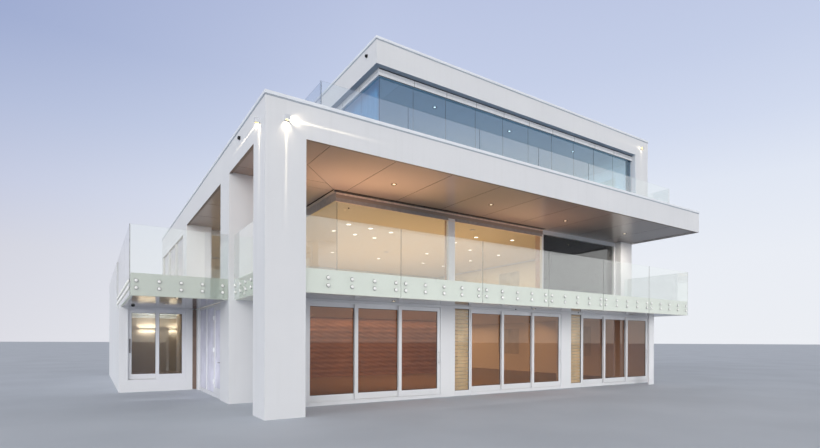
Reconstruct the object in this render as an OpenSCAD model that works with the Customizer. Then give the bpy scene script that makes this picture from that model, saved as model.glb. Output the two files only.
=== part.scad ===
// Three-storey beach house with a deep roof frame on white piers, glass balconies and sliding doors.
// Lengths are in millimetres and Z is up. The front looks towards -Y and the wing lies on the -X side.

/* [Storeys] */
// Height of the ground storey, from the ground to the underside of the balcony
ground_clear = 2500; // [2400:10:2900]
// Thickness of the floor between the ground and middle storeys
floor_t = 500; // [350:10:600]
// Height of the middle storey, from its floor to the underside of the roof band
mid_clear = 2530; // [2400:10:3000]
// Height of the roof band that runs round the house
band_h = 700; // [500:10:900]
// Height of the top storey, from the roof terrace to the underside of its fascia
top_clear = 2580; // [2400:10:3000]
// Height of the fascia round the top roof
fascia_h = 640; // [450:10:800]

/* [Plan] */
// Depth of the house, front to back
house_d = 16190; // [15000:10:19000]
// Distance from the left face of the house to the first front door set
first_set_x = 1400; // [1300:10:1500]
// Distance from the last front door set to the right face of the house
right_margin = 780; // [750:10:1200]
// Distance from the front face of the house to the front door plane
door_set_y = 1455; // [1350:5:1700]
// Thickness of the outer masonry walls
wall_t = 250; // [200:10:260]
// Thickness of the ground-floor slab above the lowest ground
ground_slab_t = 60; // [40:5:120]
// Thickness of the finished walls that return beside the front doors
return_wall_t = 200; // [150:10:250]

/* [Piers] */
// Width of the corner column and the side piers, across the front
column_w = 820; // [600:10:1000]
// Depth of the corner column
column_d = 800; // [600:10:1000]
// Distance from the front face to the first side pier
side_pier_y = 2900; // [2700:10:3200]
// Depth of the first side pier
side_pier_d = 940; // [700:10:1100]
// Distance from the front face to the rear side pier
rear_pier_y = 9200; // [8900:10:10000]
// Depth of the rear side pier
rear_pier_d = 720; // [500:10:900]
// Width of the right-hand pier of the middle storey
right_pier_w = 730; // [500:10:780]
// Distance from the front face to the right-hand pier
right_pier_y = 2660; // [2400:10:2800]
// Width of the blade post under the balcony, across the front
post_w = 290; // [120:10:400]
// Thickness of the blade post
post_t = 60; // [40:5:120]
// Distance from the front face to the blade post
post_y = 840; // [700:10:1000]
// Distance from the right end of the last door set back to the blade post
post_back = 950; // [700:10:1100]

/* [Roof] */
// Width of the roof band, from its outer face to its inner face
band_t = 300; // [260:10:400]
// Thickness of the lip of the roof band that hangs outside the soffit
band_lip = 70; // [50:5:120]
// Thickness of the metal cap on the bands
cap_t = 65; // [40:5:90]
// Overhang of the metal cap beyond the band
cap_over = 15; // [5:5:40]
// Depth of the roof terrace below the top of the band
deck_drop = 110; // [60:10:200]
// Thickness of the roof terrace slab
roof_slab_t = 520; // [400:10:560]
// Thickness of a soffit panel
soffit_t = 40; // [20:5:60]
// Width of the open joint between soffit panels
soffit_joint = 12; // [6:1:25]
// Spacing of the joints between soffit panels
soffit_pitch = 1600; // [1200:10:2000]
// Distance from the corner column to the first joint of the roof soffit
soffit_first = 570; // [300:10:900]
// Thickness of the soffit panels under the balcony and the terrace
lower_soffit_t = 30; // [20:5:50]
// Width of the plain edge round the balcony and terrace soffits
soffit_edge = 40; // [20:5:100]
// Width of the shadow gap between the soffit and what surrounds it
shadow_gap = 20; // [10:5:40]
// Width of the blind slot between the soffit and the middle glazing
blind_slot = 45; // [30:5:80]
// Width of the plain strip between the blind slot and the middle glazing
slot_strip = 110; // [60:5:200]

/* [Top storey] */
// Distance from the left face of the house to the top fascia
top_x = 3390; // [3200:10:3800]
// Distance from the front face of the house to the top fascia
top_y = 1790; // [1650:10:2200]
// Depth of the top storey, over its fascia
top_d = 10010; // [8500:10:11000]
// Gap between the right-hand roof band and the right end of the top fascia
top_gap = 10; // [5:5:300]
// Setback of the top glazing behind the fascia
top_setback = 160; // [120:10:300]
// Thickness of the top roof slab
top_slab_t = 300; // [200:10:400]
// Width of one top glass panel
top_pane_w = 1116; // [1000:2:1300]
// Number of top glass panels along the front
top_panes = 10; // [9:1:10]
// Number of top glass panels along the left side
top_side_panes = 4; // [2:1:6]
// Height of the head track over the top glass
track_h = 190; // [120:10:250]
// Width of the head track and the sill of the top glass
track_w = 110; // [80:5:120]
// Height of the sill under the top glass
top_sill_h = 60; // [40:5:100]
// Thickness of the top glass
top_glass_t = 12; // [8:1:20]
// Width of the reveal between the two parts of the head track
track_reveal = 12; // [8:1:20]
// Setback of the top pier behind the fascia
pier_back = 60; // [30:5:100]
// Depth of the top pier
pier_d = 400; // [250:10:600]

/* [Middle glazing] */
// Distance from the left face of the house to the corner of the middle glazing
mid_x = 2790; // [2600:10:3100]
// Distance from the front face of the house to the middle glazing
mid_y = 2925; // [2910:5:3100]
// Depth of the middle glazing frames
frame_d = 100; // [70:5:120]
// Height of the dark head frame over the middle glazing
mid_head_h = 190; // [120:10:250]
// Height of the sill under the middle glazing
mid_sill_h = 50; // [30:5:100]
// Width of the posts at the ends of the middle glazing
run_post_w = 70; // [50:5:120]
// Width of the wide white mullion
wide_mullion_w = 260; // [160:10:400]
// Distance from the corner of the middle glazing to the wide mullion
first_bay_w = 3810; // [3200:10:4200]
// Width of the slim mullion
slim_mullion_w = 80; // [50:5:120]
// Clear width between the wide and the slim mullion
second_bay_w = 3960; // [3400:10:4400]
// Thickness of the window glass
glass_t = 12; // [8:1:20]

/* [Balcony glass] */
// Distance from the front face of the house to the outside of the balcony glass
pane_inset = 120; // [80:5:200]
// Thickness of the balcony glass
pane_t = 15; // [12:1:21]
// Gap between the balcony glass and the floor edge behind it
pane_gap = 20; // [12:1:40]
// Height of the lower edge of the balcony glass above the floor's underside
pane_drop = 7; // [3:1:20]
// Height of the balcony glass above the floor
barrier_h = 1060; // [1000:10:1200]
// Distance between the joints of the front balcony glass
pane_pitch = 2442; // [2000:2:2800]
// Width of the open joint between two panes
pane_joint = 12; // [6:1:20]
// Distance from the right end of the balcony glass to the right face of the house
balcony_back = 500; // [400:10:560]
// Diameter of the button on a glass fixing
button_d = 70; // [50:2:90]
// Thickness of the button on a glass fixing
button_t = 12; // [6:1:20]
// Diameter of the spacer behind the glass
spacer_d = 50; // [30:2:60]
// Number of fixings across one pane
button_cols = 5; // [3:1:6]
// Distance from the edge of a pane to its first fixing
button_edge = 130; // [90:5:200]
// Height of the lower row of fixings above the floor's underside
button_low = 170; // [110:5:200]
// Height between the two rows of fixings
button_rise = 160; // [100:5:170]

/* [Roof glass] */
// Distance from the front face of the house to the roof terrace glass
roof_glass_y = 790; // [600:10:1000]
// Distance from the left face of the house to the roof terrace glass
roof_glass_x = 1450; // [1200:10:1700]
// Distance from the right face of the house to the roof terrace glass
roof_right = 480; // [420:10:700]
// Height of the roof terrace glass above the terrace
roof_glass_h = 1130; // [1000:10:1300]
// Distance between the joints of the roof terrace glass
roof_pane_pitch = 2295; // [1800:5:2600]
// Width of the shoe that holds the roof terrace glass
shoe_w = 70; // [50:5:100]
// Height of the shoe that holds the roof terrace glass
shoe_h = 100; // [60:5:140]

/* [Sliding doors] */
// Number of front door sets
door_sets = 3; // [2:1:3]
// Width of one front door set
set_w = 3870; // [3400:10:4200]
// Width of the wall between a door set and its slot window
pilaster_w = 430; // [300:10:600]
// Width of a slot window
slot_w = 590; // [400:10:700]
// Depth of the walls and frames round the front doors
door_frame_d = 210; // [196:2:240]
// Width of a door jamb
jamb_w = 40; // [30:2:60]
// Height of the head over the sliding doors
head_h = 60; // [50:2:90]
// Height of the sill track under the sliding doors, above its floor
sill_h = 20; // [12:1:30]
// Thickness of a sliding leaf
leaf_t = 45; // [36:1:50]
// Width of the stiles of a sliding leaf
stile_w = 90; // [70:2:110]
// Height of the bottom rail of a sliding leaf
bottom_rail_h = 150; // [100:5:180]
// Height of the top rail of a sliding leaf
top_rail_h = 100; // [70:5:130]
// Gap between a sliding leaf and what it passes
slide_gap = 6; // [5:1:8]
// Gap between two sliding leaves on neighbouring tracks
track_gap = 15; // [12:1:20]
// Width of a rail on the sill track
rail_w = 8; // [6:1:12]
// Height of a rail on the sill track
rail_h = 8; // [5:1:12]
// Radius of the rollers under a sliding leaf
roller_r = 18; // [14:1:24]
// Clearance between a roller and its rail
roller_clear = 0.3; // [0.2:0.1:0.6]
// Height of the fins that part the leaves under the head
fin_h = 20; // [12:1:30]
// Gap between a fin and the leaf beside it
fin_gap = 5; // [5:0.5:5.5]
// Depth of the groove that holds the glass in a leaf
groove = 12; // [8:1:18]
// Width of a slot window's stiles
slot_stile = 40; // [30:2:60]
// Height of a slot window's bottom rail above the ground
slot_rail = 150; // [100:5:250]
// Spacing of the slats of a blind
slat_pitch = 80; // [50:5:120]
// Depth of a slat
slat_d = 50; // [30:2:60]
// Thickness of a slat and of the tapes that carry it
slat_t = 4; // [3:1:6]
// Width of the upright door handles
handle_w = 25; // [18:1:35]
// Distance from a leaf to the back of its handle
handle_out = 40; // [30:1:60]
// Length of the upright door handles
handle_l = 420; // [250:10:600]
// Height of the middle of the door handles above the sill
handle_z = 1000; // [900:10:1100]

/* [Wing] */
// Distance from the left face of the house to the left face of the wing
wing_w = 2090; // [1900:10:2500]
// Distance from the front face of the house to the front of the wing
wing_y = 7200; // [7000:10:7800]
// Height of the wing's floor above the lowest ground
wing_floor_h = 340; // [150:10:450]
// Thickness of the wing's outer wall
wing_wall_t = 190; // [150:5:250]
// Distance from the front face of the house to the side terrace's front edge
terrace_y = 2950; // [2900:10:3300]
// Distance from the left face of the wing to the terrace glass
terrace_inset = 20; // [10:5:60]
// Distance from the front face of the house to the start of the solid parapet
parapet_y = 8700; // [8300:10:9100]
// Height of the solid parapet above the terrace
parapet_h = 1000; // [900:10:1200]
// Distance from the left face of the house to the wing's door opening
wing_jamb_w = 280; // [200:10:320]
// Width of the dark slot in the corner between the wing and the house
corner_slot_w = 90; // [60:5:140]

/* [Side door] */
// Width of the hinged side door
side_door_w = 850; // [750:10:1000]
// Height of the sill under the side door and the lights beside it
side_sill_h = 100; // [70:5:140]
// Setback of the side glazing behind the left face of the house
side_face = 40; // [30:2:60]
// Depth of the frames round the side door
side_frame_d = 70; // [60:2:100]
// Width of a fixed light
side_light_w = 1000; // [800:10:1050]
// Thickness of a hinge flap
flap_t = 6; // [4:1:8]
// Height of the lever handle above the sill
lever_z = 850; // [750:10:1000]
// Thickness of the lever handle
lever_t = 18; // [14:1:24]
// Distance of the lever from the door
lever_out = 50; // [40:1:60]
// Length of the lever
lever_l = 120; // [90:5:140]
// Number of fixed lights beyond the side door
side_lights = 2; // [1:1:2]
// Thickness of the side door and the frames beside it
side_door_t = 50; // [40:1:60]
// Width of the frames round the side door
side_frame_w = 60; // [50:2:90]
// Radius of the hinge pin of the side door
hinge_r = 10; // [8:1:14]
// Radial clearance round the hinge pin
hinge_clear = 0.5; // [0.3:0.1:0.8]
// Radius of a hinge barrel
barrel_r = 18; // [15:1:22]
// Length of one hinge knuckle
knuckle_l = 60; // [40:5:90]
// Distance from the sill and the head to the outer hinges
hinge_inset = 250; // [150:10:400]

/* [Inner walls] */
// Thickness of the inner walls
inner_wall_t = 150; // [100:10:200]
// Distance from the front face of the house to the wall that backs the front room
room_wall_y = 9500; // [9000:10:11000]
// Length of that wall, from the wall beside the wing
room_wall_w = 12000; // [9000:50:13000]
// Distance from the front face of the house to the wing's inner wall
wing_room_y = 11500; // [10500:10:13000]

/* [Rear windows] */
// Number of windows along the rear wall on each storey
rear_windows = 4; // [2:1:5]
// Number of windows along the right wall on each storey
right_windows = 3; // [2:1:4]
// Width of a rear or side window
window_w = 1500; // [900:10:1600]
// Height of a rear or side window
window_h = 1300; // [900:10:1400]
// Height of a window's sill above its floor
window_sill = 850; // [500:10:900]

/* [Lights] */
// Height of the wall lights above the underside of the band
light_rise = 310; // [200:10:450]
// Width and height of a wall light
light_w = 90; // [60:5:130]
// Depth of a wall light
light_d = 100; // [60:5:140]
// Width of the rim round a wall light's lens
lens_rim = 15; // [12:1:20]
// Depth of the recess that holds a wall light's lens
lens_sunk = 8; // [4:1:10]
// Distance from the right end of the top fascia to its wall light
top_light_back = 440; // [200:10:800]

/* [Overflow] */
// Distance from the front face to the overflow hole in the left band
overflow_y = 1900; // [1000:10:3000]
// Height of the overflow hole above the underside of the band
overflow_z = 490; // [300:10:560]
// Distance from the front of the top fascia to the overflow hole in its left side
top_overflow_y = 520; // [300:10:1500]
// Height of the upper overflow hole above the underside of the top fascia
top_overflow_z = 420; // [200:10:440]
// Diameter of the overflow holes
overflow_d = 70; // [40:2:100]
// Depth of the overflow holes
overflow_l = 110; // [60:5:115]

/* [Hidden] */

// Colours of the finishes
white = [0.84, 0.85, 0.87];
frame_white = [0.88, 0.88, 0.90];
taupe = [0.42, 0.40, 0.38];
dark = [0.10, 0.10, 0.11];
panel_grey = [0.52, 0.50, 0.50];
deck_grey = [0.62, 0.62, 0.63];
metal = [0.70, 0.72, 0.74];
pane_blue = [0.70, 0.85, 0.88, 0.35];
bronze = [0.45, 0.36, 0.32, 0.45];
blind_cream = [0.86, 0.78, 0.62];

// Clearance at the joints between pieces that are set beside each other
joint = 0.5;
eps = 1;

// Levels
z_floor = ground_clear + floor_t;
z_band = z_floor + mid_clear;
z_cap = z_band + band_h;
z_deck = z_cap - deck_drop;
z_slab = z_deck - roof_slab_t;
z_top_soffit = z_deck + top_clear;
z_top_cap = z_top_soffit + fascia_h;

// Plan lines across the front
bay_w = set_w + pilaster_w + slot_w;
sets_end = first_set_x + door_sets*set_w + (door_sets - 1)*(pilaster_w + slot_w);
house_w = sets_end + right_margin;
balcony_right = house_w - balcony_back;
edge_in = pane_inset + pane_t + pane_gap;
slab_right = balcony_right - pane_t - pane_gap;
inner_right = house_w - wall_t;
inner_rear = house_d - wall_t;
pier_right_x = house_w - right_pier_w;
pier_right_back = mid_y + frame_d;
terrace_left = -wing_w + terrace_inset;
terrace_edge = terrace_left + pane_t + pane_gap;
terrace_edge_y = terrace_y + pane_t + pane_gap;
top_end = house_w - band_t - top_gap;
top_glass_x = top_x + top_setback;
top_glass_y = top_y + top_setback;
top_rear = top_y + top_d;
top_pier_x = top_glass_x + top_panes*top_pane_w;
top_side_end = top_glass_y + top_side_panes*top_pane_w;
door_back = door_set_y + door_frame_d;

// Middle of the plan, where the origin stands
plan_x = (house_w + cap_over - wing_w)/2;
plan_y = (house_d + cap_over - light_d)/2;

// Sliding door sizes
clear_w = set_w - 2*jamb_w;
leaf_w = (clear_w - 2*slide_gap + 2*stile_w)/3;
track_step = leaf_t + track_gap;
leaf_low = ground_slab_t + sill_h + rail_h + slide_gap;
leaf_high = ground_clear - head_h - slide_gap;
wing_leaf_low = wing_floor_h + sill_h + rail_h + slide_gap;
wing_clear_w = wing_w - wing_wall_t - wing_jamb_w - 2*jamb_w;
wing_leaf_w = (wing_clear_w - 2*slide_gap + stile_w)/2;
fixed_low = ground_slab_t + sill_h + joint;
fixed_high = ground_clear - head_h - joint;
fin_w = track_gap - 2*fin_gap;

// Side door sizes
side_head_z = ground_clear - side_frame_w;
side_leaf_y = side_pier_y + side_pier_d + side_frame_w + slide_gap;
side_leaf_low = side_sill_h + slide_gap;
side_leaf_high = side_head_z - slide_gap;
side_glazed_end = side_post_y(side_lights + 1) + side_frame_w;
hinge_x = side_face - barrel_r;
hinge_y = side_leaf_y + side_door_w + slide_gap/2;
hinge_levels = [side_sill_h + hinge_inset, (side_sill_h + side_head_z)/2 - knuckle_l,
    side_head_z - hinge_inset - 2*knuckle_l];

// A block between two opposite corners
module block(low, high) {
    translate(low) cube(high - low);
}

// Sets the origin on the ground under the middle of the plan
module place() {
    translate([-plan_x, -plan_y, 0]) children();
}

// A flat slab with the given outline
module plate(outline, z0, z1) {
    translate([0, 0, z0]) linear_extrude(z1 - z0) polygon(outline);
}

// A ring of four bars, with a joint of the named clearance at each corner
module ring(x0, y0, x1, y1, t, z0, z1) {
    block([x0, y0, z0], [x1, y0 + t, z1]);
    block([x0, y1 - t, z0], [x1, y1, z1]);
    block([x0, y0 + t + joint, z0], [x0 + t, y1 - t - joint, z1]);
    block([x1 - t, y0 + t + joint, z0], [x1, y1 - t - joint, z1]);
}

function set_x(i) = first_set_x + i*bay_w;
function track_y(i) = door_set_y + i*track_step;

// Floors of the main rooms and of the wing
module ground_floor() place() color(deck_grey) {
    plate([[first_set_x, door_back], [sets_end + jamb_w, door_back], [sets_end + jamb_w, right_pier_y],
        [pier_right_x, right_pier_y], [pier_right_x, pier_right_back],
        [inner_right, pier_right_back], [inner_right, inner_rear], [joint, inner_rear],
        [joint, wing_y + wing_wall_t], [return_wall_t, wing_y + wing_wall_t],
        [return_wall_t, side_pier_y + side_pier_d], [column_w, side_pier_y + side_pier_d],
        [column_w, side_pier_y + return_wall_t],
        [first_set_x, side_pier_y + return_wall_t]], 0, ground_slab_t);
    block([-wing_w + wing_wall_t, wing_y + wing_wall_t, 0], [0, inner_rear, wing_floor_h]);
}

// A pier under the left band, whose inner part goes on up to the roof slab
module band_pier(y0, y1, z0) {
    block([0, y0, z0], [column_w, y1, z_band]);
    block([band_t, max(y0, band_t), z_band - eps], [column_w, y1, z_slab]);
}

module corner_column() place() color(white) band_pier(0, column_d, 0);

// The first side pier stands on the ground, and the rear one on the middle floor
module side_piers() place() color(white) {
    band_pier(side_pier_y, side_pier_y + side_pier_d, 0);
    band_pier(rear_pier_y, rear_pier_y + rear_pier_d, z_floor);
}

module end_post() place() color(frame_white) {
    x = sets_end - post_back;
    block([x, post_y, 0], [x + post_w, post_y + post_t, ground_clear]);
}

// Walls between each door set and the slot window beside it
module front_pilasters() place() color(white)
    for (i = [0:door_sets - 2])
        block([set_x(i) + set_w, door_set_y, 0],
            [set_x(i) + set_w + pilaster_w, door_back, ground_clear]);

// Walls that run back from both ends of the row of front doors
module return_walls() place() color(white) {
    plate([[first_set_x - return_wall_t, door_set_y], [first_set_x, door_set_y],
        [first_set_x, side_pier_y + return_wall_t], [column_w, side_pier_y + return_wall_t],
        [column_w, side_pier_y], [first_set_x - return_wall_t, side_pier_y]], 0, ground_clear);
    block([sets_end, door_set_y, 0], [sets_end + jamb_w, door_back, ground_clear]);
    block([sets_end + jamb_w, door_set_y, 0],
        [sets_end + jamb_w + return_wall_t, right_pier_y, ground_clear]);
}

// Ground-floor wall on the left side, between the glazed side lights and the wing
module side_wall() place() color(white)
    block([0, side_glazed_end + joint, 0], [return_wall_t, wing_y + wing_wall_t, ground_clear]);

// Jambs of the wing's front, split beside the door, with the dark slot in the inner corner left open
module wing_front_wall() place() color(white) {
    block([-wing_w, wing_y, 0], [-wing_w + wing_wall_t, wing_y + wing_wall_t, ground_clear]);
    block([-wing_jamb_w, wing_y, 0], [-corner_slot_w, wing_y + wing_wall_t, ground_clear]);
    block([-corner_slot_w + joint, wing_y + wing_wall_t/2, 0],
        [-joint, wing_y + wing_wall_t, ground_clear]);
    block([-wing_w + wing_wall_t + joint, wing_y, 0],
        [-wing_jamb_w - joint, wing_y + wing_wall_t, wing_floor_h]);
}

// The wing's left wall rises past the terrace as a solid parapet, and its rear wall closes the end
module wing_left_wall() place() color(white) {
    translate([-wing_w, 0, 0]) rotate([90, 0, 90]) linear_extrude(wing_wall_t)
        polygon([[wing_y + wing_wall_t, 0], [inner_rear, 0], [inner_rear, z_floor + parapet_h],
            [parapet_y, z_floor + parapet_h], [parapet_y, ground_clear],
            [wing_y + wing_wall_t, ground_clear]]);
    block([-wing_w, inner_rear + joint, 0], [-joint, house_d, z_floor + parapet_h]);
}

// Inner walls of the ground floor: one parts the wing from the house, and one backs each front room
module inner_walls() place() color(white) {
    side_start = wing_y + wing_wall_t + joint;
    block([joint, side_start, ground_slab_t], [return_wall_t, inner_rear - joint, ground_clear]);
    block([return_wall_t + joint, room_wall_y, ground_slab_t],
        [return_wall_t + room_wall_w, room_wall_y + inner_wall_t, ground_clear]);
    block([-wing_w + wing_wall_t + joint, wing_room_y, wing_floor_h],
        [-joint, wing_room_y + inner_wall_t, ground_clear]);
}

// Left edge of each window in a row of n, centred on the stretch from a to b
function window_at(i, n, a, b) = a + (i + 0.5)*(b - a)/n - window_w/2;

// Holes for a row of windows along X on one storey
module window_row_x(n, a, b, y0, y1, z) {
    for (i = [0:n - 1])
        block([window_at(i, n, a, b), y0, z + window_sill],
            [window_at(i, n, a, b) + window_w, y1, z + window_sill + window_h]);
}

// Holes for a row of windows along Y on one storey
module window_row_y(n, a, b, x0, x1, z) {
    for (i = [0:n - 1])
        block([x0, window_at(i, n, a, b), z + window_sill],
            [x1, window_at(i, n, a, b) + window_w, z + window_sill + window_h]);
}

// Outer wall at the back of the ground and middle storeys, with its windows
module rear_wall() place() color(white) difference() {
    block([0, inner_rear, 0], [house_w, house_d, z_band]);
    for (z = [ground_slab_t, z_floor])
        window_row_x(rear_windows, wall_t, inner_right, inner_rear - eps, house_d + eps, z);
}

// Outer wall on the right of the ground and middle storeys, with its windows
module right_wall() place() color(white) difference() {
    block([inner_right, pier_right_back, 0], [house_w, inner_rear, z_band]);
    for (z = [ground_slab_t, z_floor])
        window_row_y(right_windows, pier_right_back, inner_rear, inner_right - eps, house_w + eps, z);
}

// Pier that closes the right end of the middle glazing and carries the band
module right_pier() place() color(white) {
    block([pier_right_x, right_pier_y, 0], [house_w, pier_right_back, z_band]);
    block([pier_right_x, right_pier_y, z_band - eps], [house_w - band_t, pier_right_back, z_slab]);
}

module mid_floor() place() color(deck_grey)
    plate([[column_w, side_pier_y], [pier_right_x, side_pier_y], [pier_right_x, pier_right_back],
        [inner_right, pier_right_back], [inner_right, inner_rear],
        [0, inner_rear], [0, side_pier_y + side_pier_d], [column_w, side_pier_y + side_pier_d]],
        ground_clear, z_floor);

// Balcony floor round the corner column, with a pocket in its underside for the soffit panels
module balcony_slab() place() color(white) difference() {
    plate([[edge_in, column_d], [column_w, column_d], [column_w, edge_in], [slab_right, edge_in],
        [slab_right, right_pier_y], [pier_right_x, right_pier_y], [pier_right_x, side_pier_y],
        [edge_in, side_pier_y]], ground_clear, z_floor);
    block([column_w + soffit_edge, edge_in + soffit_edge, ground_clear - eps],
        [sets_end, door_set_y, ground_clear + lower_soffit_t]);
}

// Terrace floor over the alcove and the wing
module terrace_slab() place() color(white) difference() {
    plate([[terrace_edge, terrace_edge_y], [0, terrace_edge_y], [0, inner_rear],
        [-wing_w + wing_wall_t, inner_rear], [-wing_w + wing_wall_t, parapet_y],
        [terrace_edge, parapet_y]], ground_clear, z_floor);
    block([terrace_edge + soffit_edge, terrace_edge_y + soffit_edge, ground_clear - eps],
        [-soffit_edge, wing_y, ground_clear + lower_soffit_t]);
}

// Glossy panels under the balcony and the terrace
module lower_soffit() place() color(panel_grey) {
    x0 = column_w + soffit_edge + joint;
    x1 = sets_end - joint;
    n = ceil((x1 - x0)/soffit_pitch);
    step = (x1 - x0)/n;
    for (i = [0:n - 1])
        block([x0 + i*step + (i > 0 ? soffit_joint/2 : 0), edge_in + soffit_edge + joint, ground_clear],
            [x0 + (i + 1)*step - (i < n - 1 ? soffit_joint/2 : 0), door_set_y - joint,
            ground_clear + lower_soffit_t - joint]);
    y0 = terrace_edge_y + soffit_edge + joint;
    y1 = wing_y - joint;
    m = ceil((y1 - y0)/soffit_pitch);
    rise = (y1 - y0)/m;
    for (i = [0:m - 1])
        block([terrace_edge + soffit_edge + joint, y0 + i*rise + (i > 0 ? soffit_joint/2 : 0),
            ground_clear], [-soffit_edge - joint, y0 + (i + 1)*rise - (i < m - 1 ? soffit_joint/2 : 0),
            ground_clear + lower_soffit_t - joint]);
}

// Runs of middle glazing: each holds its length and its posts as [start, width].
// The front and side runs meet glass to glass, with no post at their corner.
front_run = pier_right_x - mid_x;
slim_at = first_bay_w + wide_mullion_w + second_bay_w;
glass_back = (frame_d - glass_t)/2;
front_posts = [[glass_back, 0], [first_bay_w, wide_mullion_w], [slim_at, slim_mullion_w],
    [front_run - run_post_w, run_post_w]];
side_run = rear_pier_y + rear_pier_d - mid_y - frame_d - joint;
side_posts = [[-glass_back, 0], [side_run/2 - slim_mullion_w/2, slim_mullion_w],
    [side_run - run_post_w, run_post_w]];
back_run = mid_x - column_w - joint;
back_posts = [[0, run_post_w], [back_run - run_post_w, run_post_w]];
rear_run = inner_rear - rear_pier_y - rear_pier_d;
rear_posts = [[0, run_post_w], [rear_run/3 - slim_mullion_w/2, slim_mullion_w],
    [2*rear_run/3 - slim_mullion_w/2, slim_mullion_w], [rear_run - run_post_w, run_post_w]];

// Head, sill and posts of one run, along +X with its outer face at Y = 0
module run_frame(length, posts, top) {
    block([0, 0, z_floor], [length, frame_d, z_floor + mid_sill_h]);
    block([0, 0, top - mid_head_h], [length, frame_d, top]);
    for (p = posts)
        if (p[1] > 0)
            block([p[0], 0, z_floor + mid_sill_h + joint],
                [p[0] + p[1], frame_d, top - mid_head_h - joint]);
}

// Panes between the posts of one run
module run_glass(posts, top) {
    for (i = [0:len(posts) - 2])
        block([posts[i][0] + posts[i][1] + joint, glass_back, z_floor + mid_sill_h + joint],
            [posts[i + 1][0] - joint, glass_back + glass_t, top - mid_head_h - joint]);
}

// Places a run on each side of the middle storey: front, terrace side, terrace end and rear left
module at_front() translate([mid_x, mid_y, 0]) children();
module at_side() translate([mid_x + frame_d, mid_y + frame_d + joint, 0]) rotate([0, 0, 90]) children();
module at_back() translate([column_w, rear_pier_y + rear_pier_d - frame_d, 0]) children();
module at_rear() translate([frame_d, rear_pier_y + rear_pier_d, 0]) rotate([0, 0, 90]) children();

module mid_frames() place() color(frame_white) {
    at_front() run_frame(front_run, front_posts, z_slab);
    at_side() run_frame(side_run, side_posts, z_slab);
    at_back() run_frame(back_run, back_posts, z_slab);
    at_rear() run_frame(rear_run, rear_posts, z_band);
}

module mid_glass() place() color(pane_blue) {
    at_front() run_glass(front_posts, z_slab);
    at_side() run_glass(side_posts, z_slab);
    at_back() run_glass(back_posts, z_slab);
    at_rear() run_glass(rear_posts, z_band);
}

// Slab of the roof terrace, held inside the band
module roof_deck() place() color(deck_grey)
    block([band_t, band_t, z_slab], [house_w - band_t, house_d - band_t, z_deck]);

// One soffit panel between two corners, kept inside an outline
module soffit_cell(outline, x0, y0, x1, y1)
    intersection() {
        plate(outline, z_slab - soffit_t, z_slab);
        block([x0, y0, z_slab - soffit_t - eps], [x1, y1, z_slab + eps]);
    }

// Panels that meet in a mitre between the corner column and the corner of the glazing.
// The front run's joints run back, and the side run's joints run across.
module roof_soffit() place() color(panel_grey) {
    near = band_lip + shadow_gap;
    inner_x = mid_x - slot_strip - blind_slot;
    inner_y = mid_y - slot_strip - blind_slot;
    half = soffit_joint/2;
    right = house_w - band_lip - shadow_gap;
    front = [[column_w + half, near], [right, near], [right, right_pier_y - joint],
        [pier_right_x - joint, right_pier_y - joint], [pier_right_x - joint, inner_y],
        [inner_x + half, inner_y], [column_w + half, column_d + joint]];
    for (x = [column_w + soffit_first - soffit_pitch:soffit_pitch:right])
        soffit_cell(front, x + half, near, x + soffit_pitch - half, inner_y);
    side = [[near, column_d + half], [column_w - half, column_d + half],
        [inner_x - half, inner_y + half], [inner_x - half, side_pier_y - joint],
        [near, side_pier_y - joint]];
    for (y = [column_d:soffit_pitch:side_pier_y])
        soffit_cell(side, near, y + half, inner_x, min(y + soffit_pitch - half, side_pier_y));
    end_y = rear_pier_y + rear_pier_d - frame_d - slot_strip - blind_slot;
    pier_end = side_pier_y + side_pier_d + joint;
    back = [[near, pier_end], [column_w + joint, pier_end],
        [column_w + joint, side_pier_y + half], [inner_x - half, side_pier_y + half],
        [inner_x - half, end_y], [column_w + joint, end_y],
        [column_w + joint, rear_pier_y - joint], [near, rear_pier_y - joint]];
    for (y = [side_pier_y:soffit_pitch:end_y])
        soffit_cell(back, near, y + half, inner_x, y + soffit_pitch - half);
    // Plain strips between the blind slot and the glazing, and a board that closes the last bay
    block([mid_x - slot_strip, mid_y - slot_strip, z_slab - soffit_t],
        [mid_x + slim_at, mid_y - joint, z_slab]);
    block([mid_x + slim_at + joint, inner_y + soffit_joint, z_slab - soffit_t],
        [pier_right_x - joint, mid_y - joint, z_slab]);
    block([mid_x - slot_strip, mid_y, z_slab - soffit_t],
        [mid_x - joint, end_y + blind_slot + slot_strip - joint, z_slab]);
}

// Roof band: the front and rear bars run the full width, and the side bars fit between them.
// Beside the piers the underside is cut back to a thin lip, so that the soffit runs out to it.
module front_band() place() color(white) difference() {
    block([0, 0, z_band], [house_w, band_t, z_cap]);
    block([column_w, band_lip, z_band - eps], [house_w - band_lip, band_t + eps, z_slab]);
}

// Blind hole on the left face of a band, where rain water can run over
module overflow_hole() translate([-eps, 0, 0]) rotate([0, 90, 0])
    cylinder(h = overflow_l, d = overflow_d, $fn = 32);

module side_bands() place() color(white) {
    difference() {
        block([0, band_t, z_band], [band_t, house_d - band_t, z_cap]);
        for (y = [[column_d, side_pier_y], [side_pier_y + side_pier_d, rear_pier_y]])
            block([band_lip, y[0], z_band - eps], [band_t + eps, y[1], z_slab]);
        translate([0, overflow_y, z_band + overflow_z]) overflow_hole();
    }
    difference() {
        block([house_w - band_t, band_t, z_band], [house_w, house_d - band_t, z_cap]);
        block([house_w - band_t - eps, band_t - eps, z_band - eps],
            [house_w - band_lip, right_pier_y, z_slab]);
    }
}

module rear_band() place() color(white)
    block([0, house_d - band_t, z_band], [house_w, house_d, z_cap]);

// Metal cap over the bands, in four lengths
module band_cap() place() color(metal)
    ring(-cap_over, -cap_over, house_w + cap_over, house_d + cap_over, band_t + cap_over,
        z_cap, z_cap + cap_t);

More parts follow.
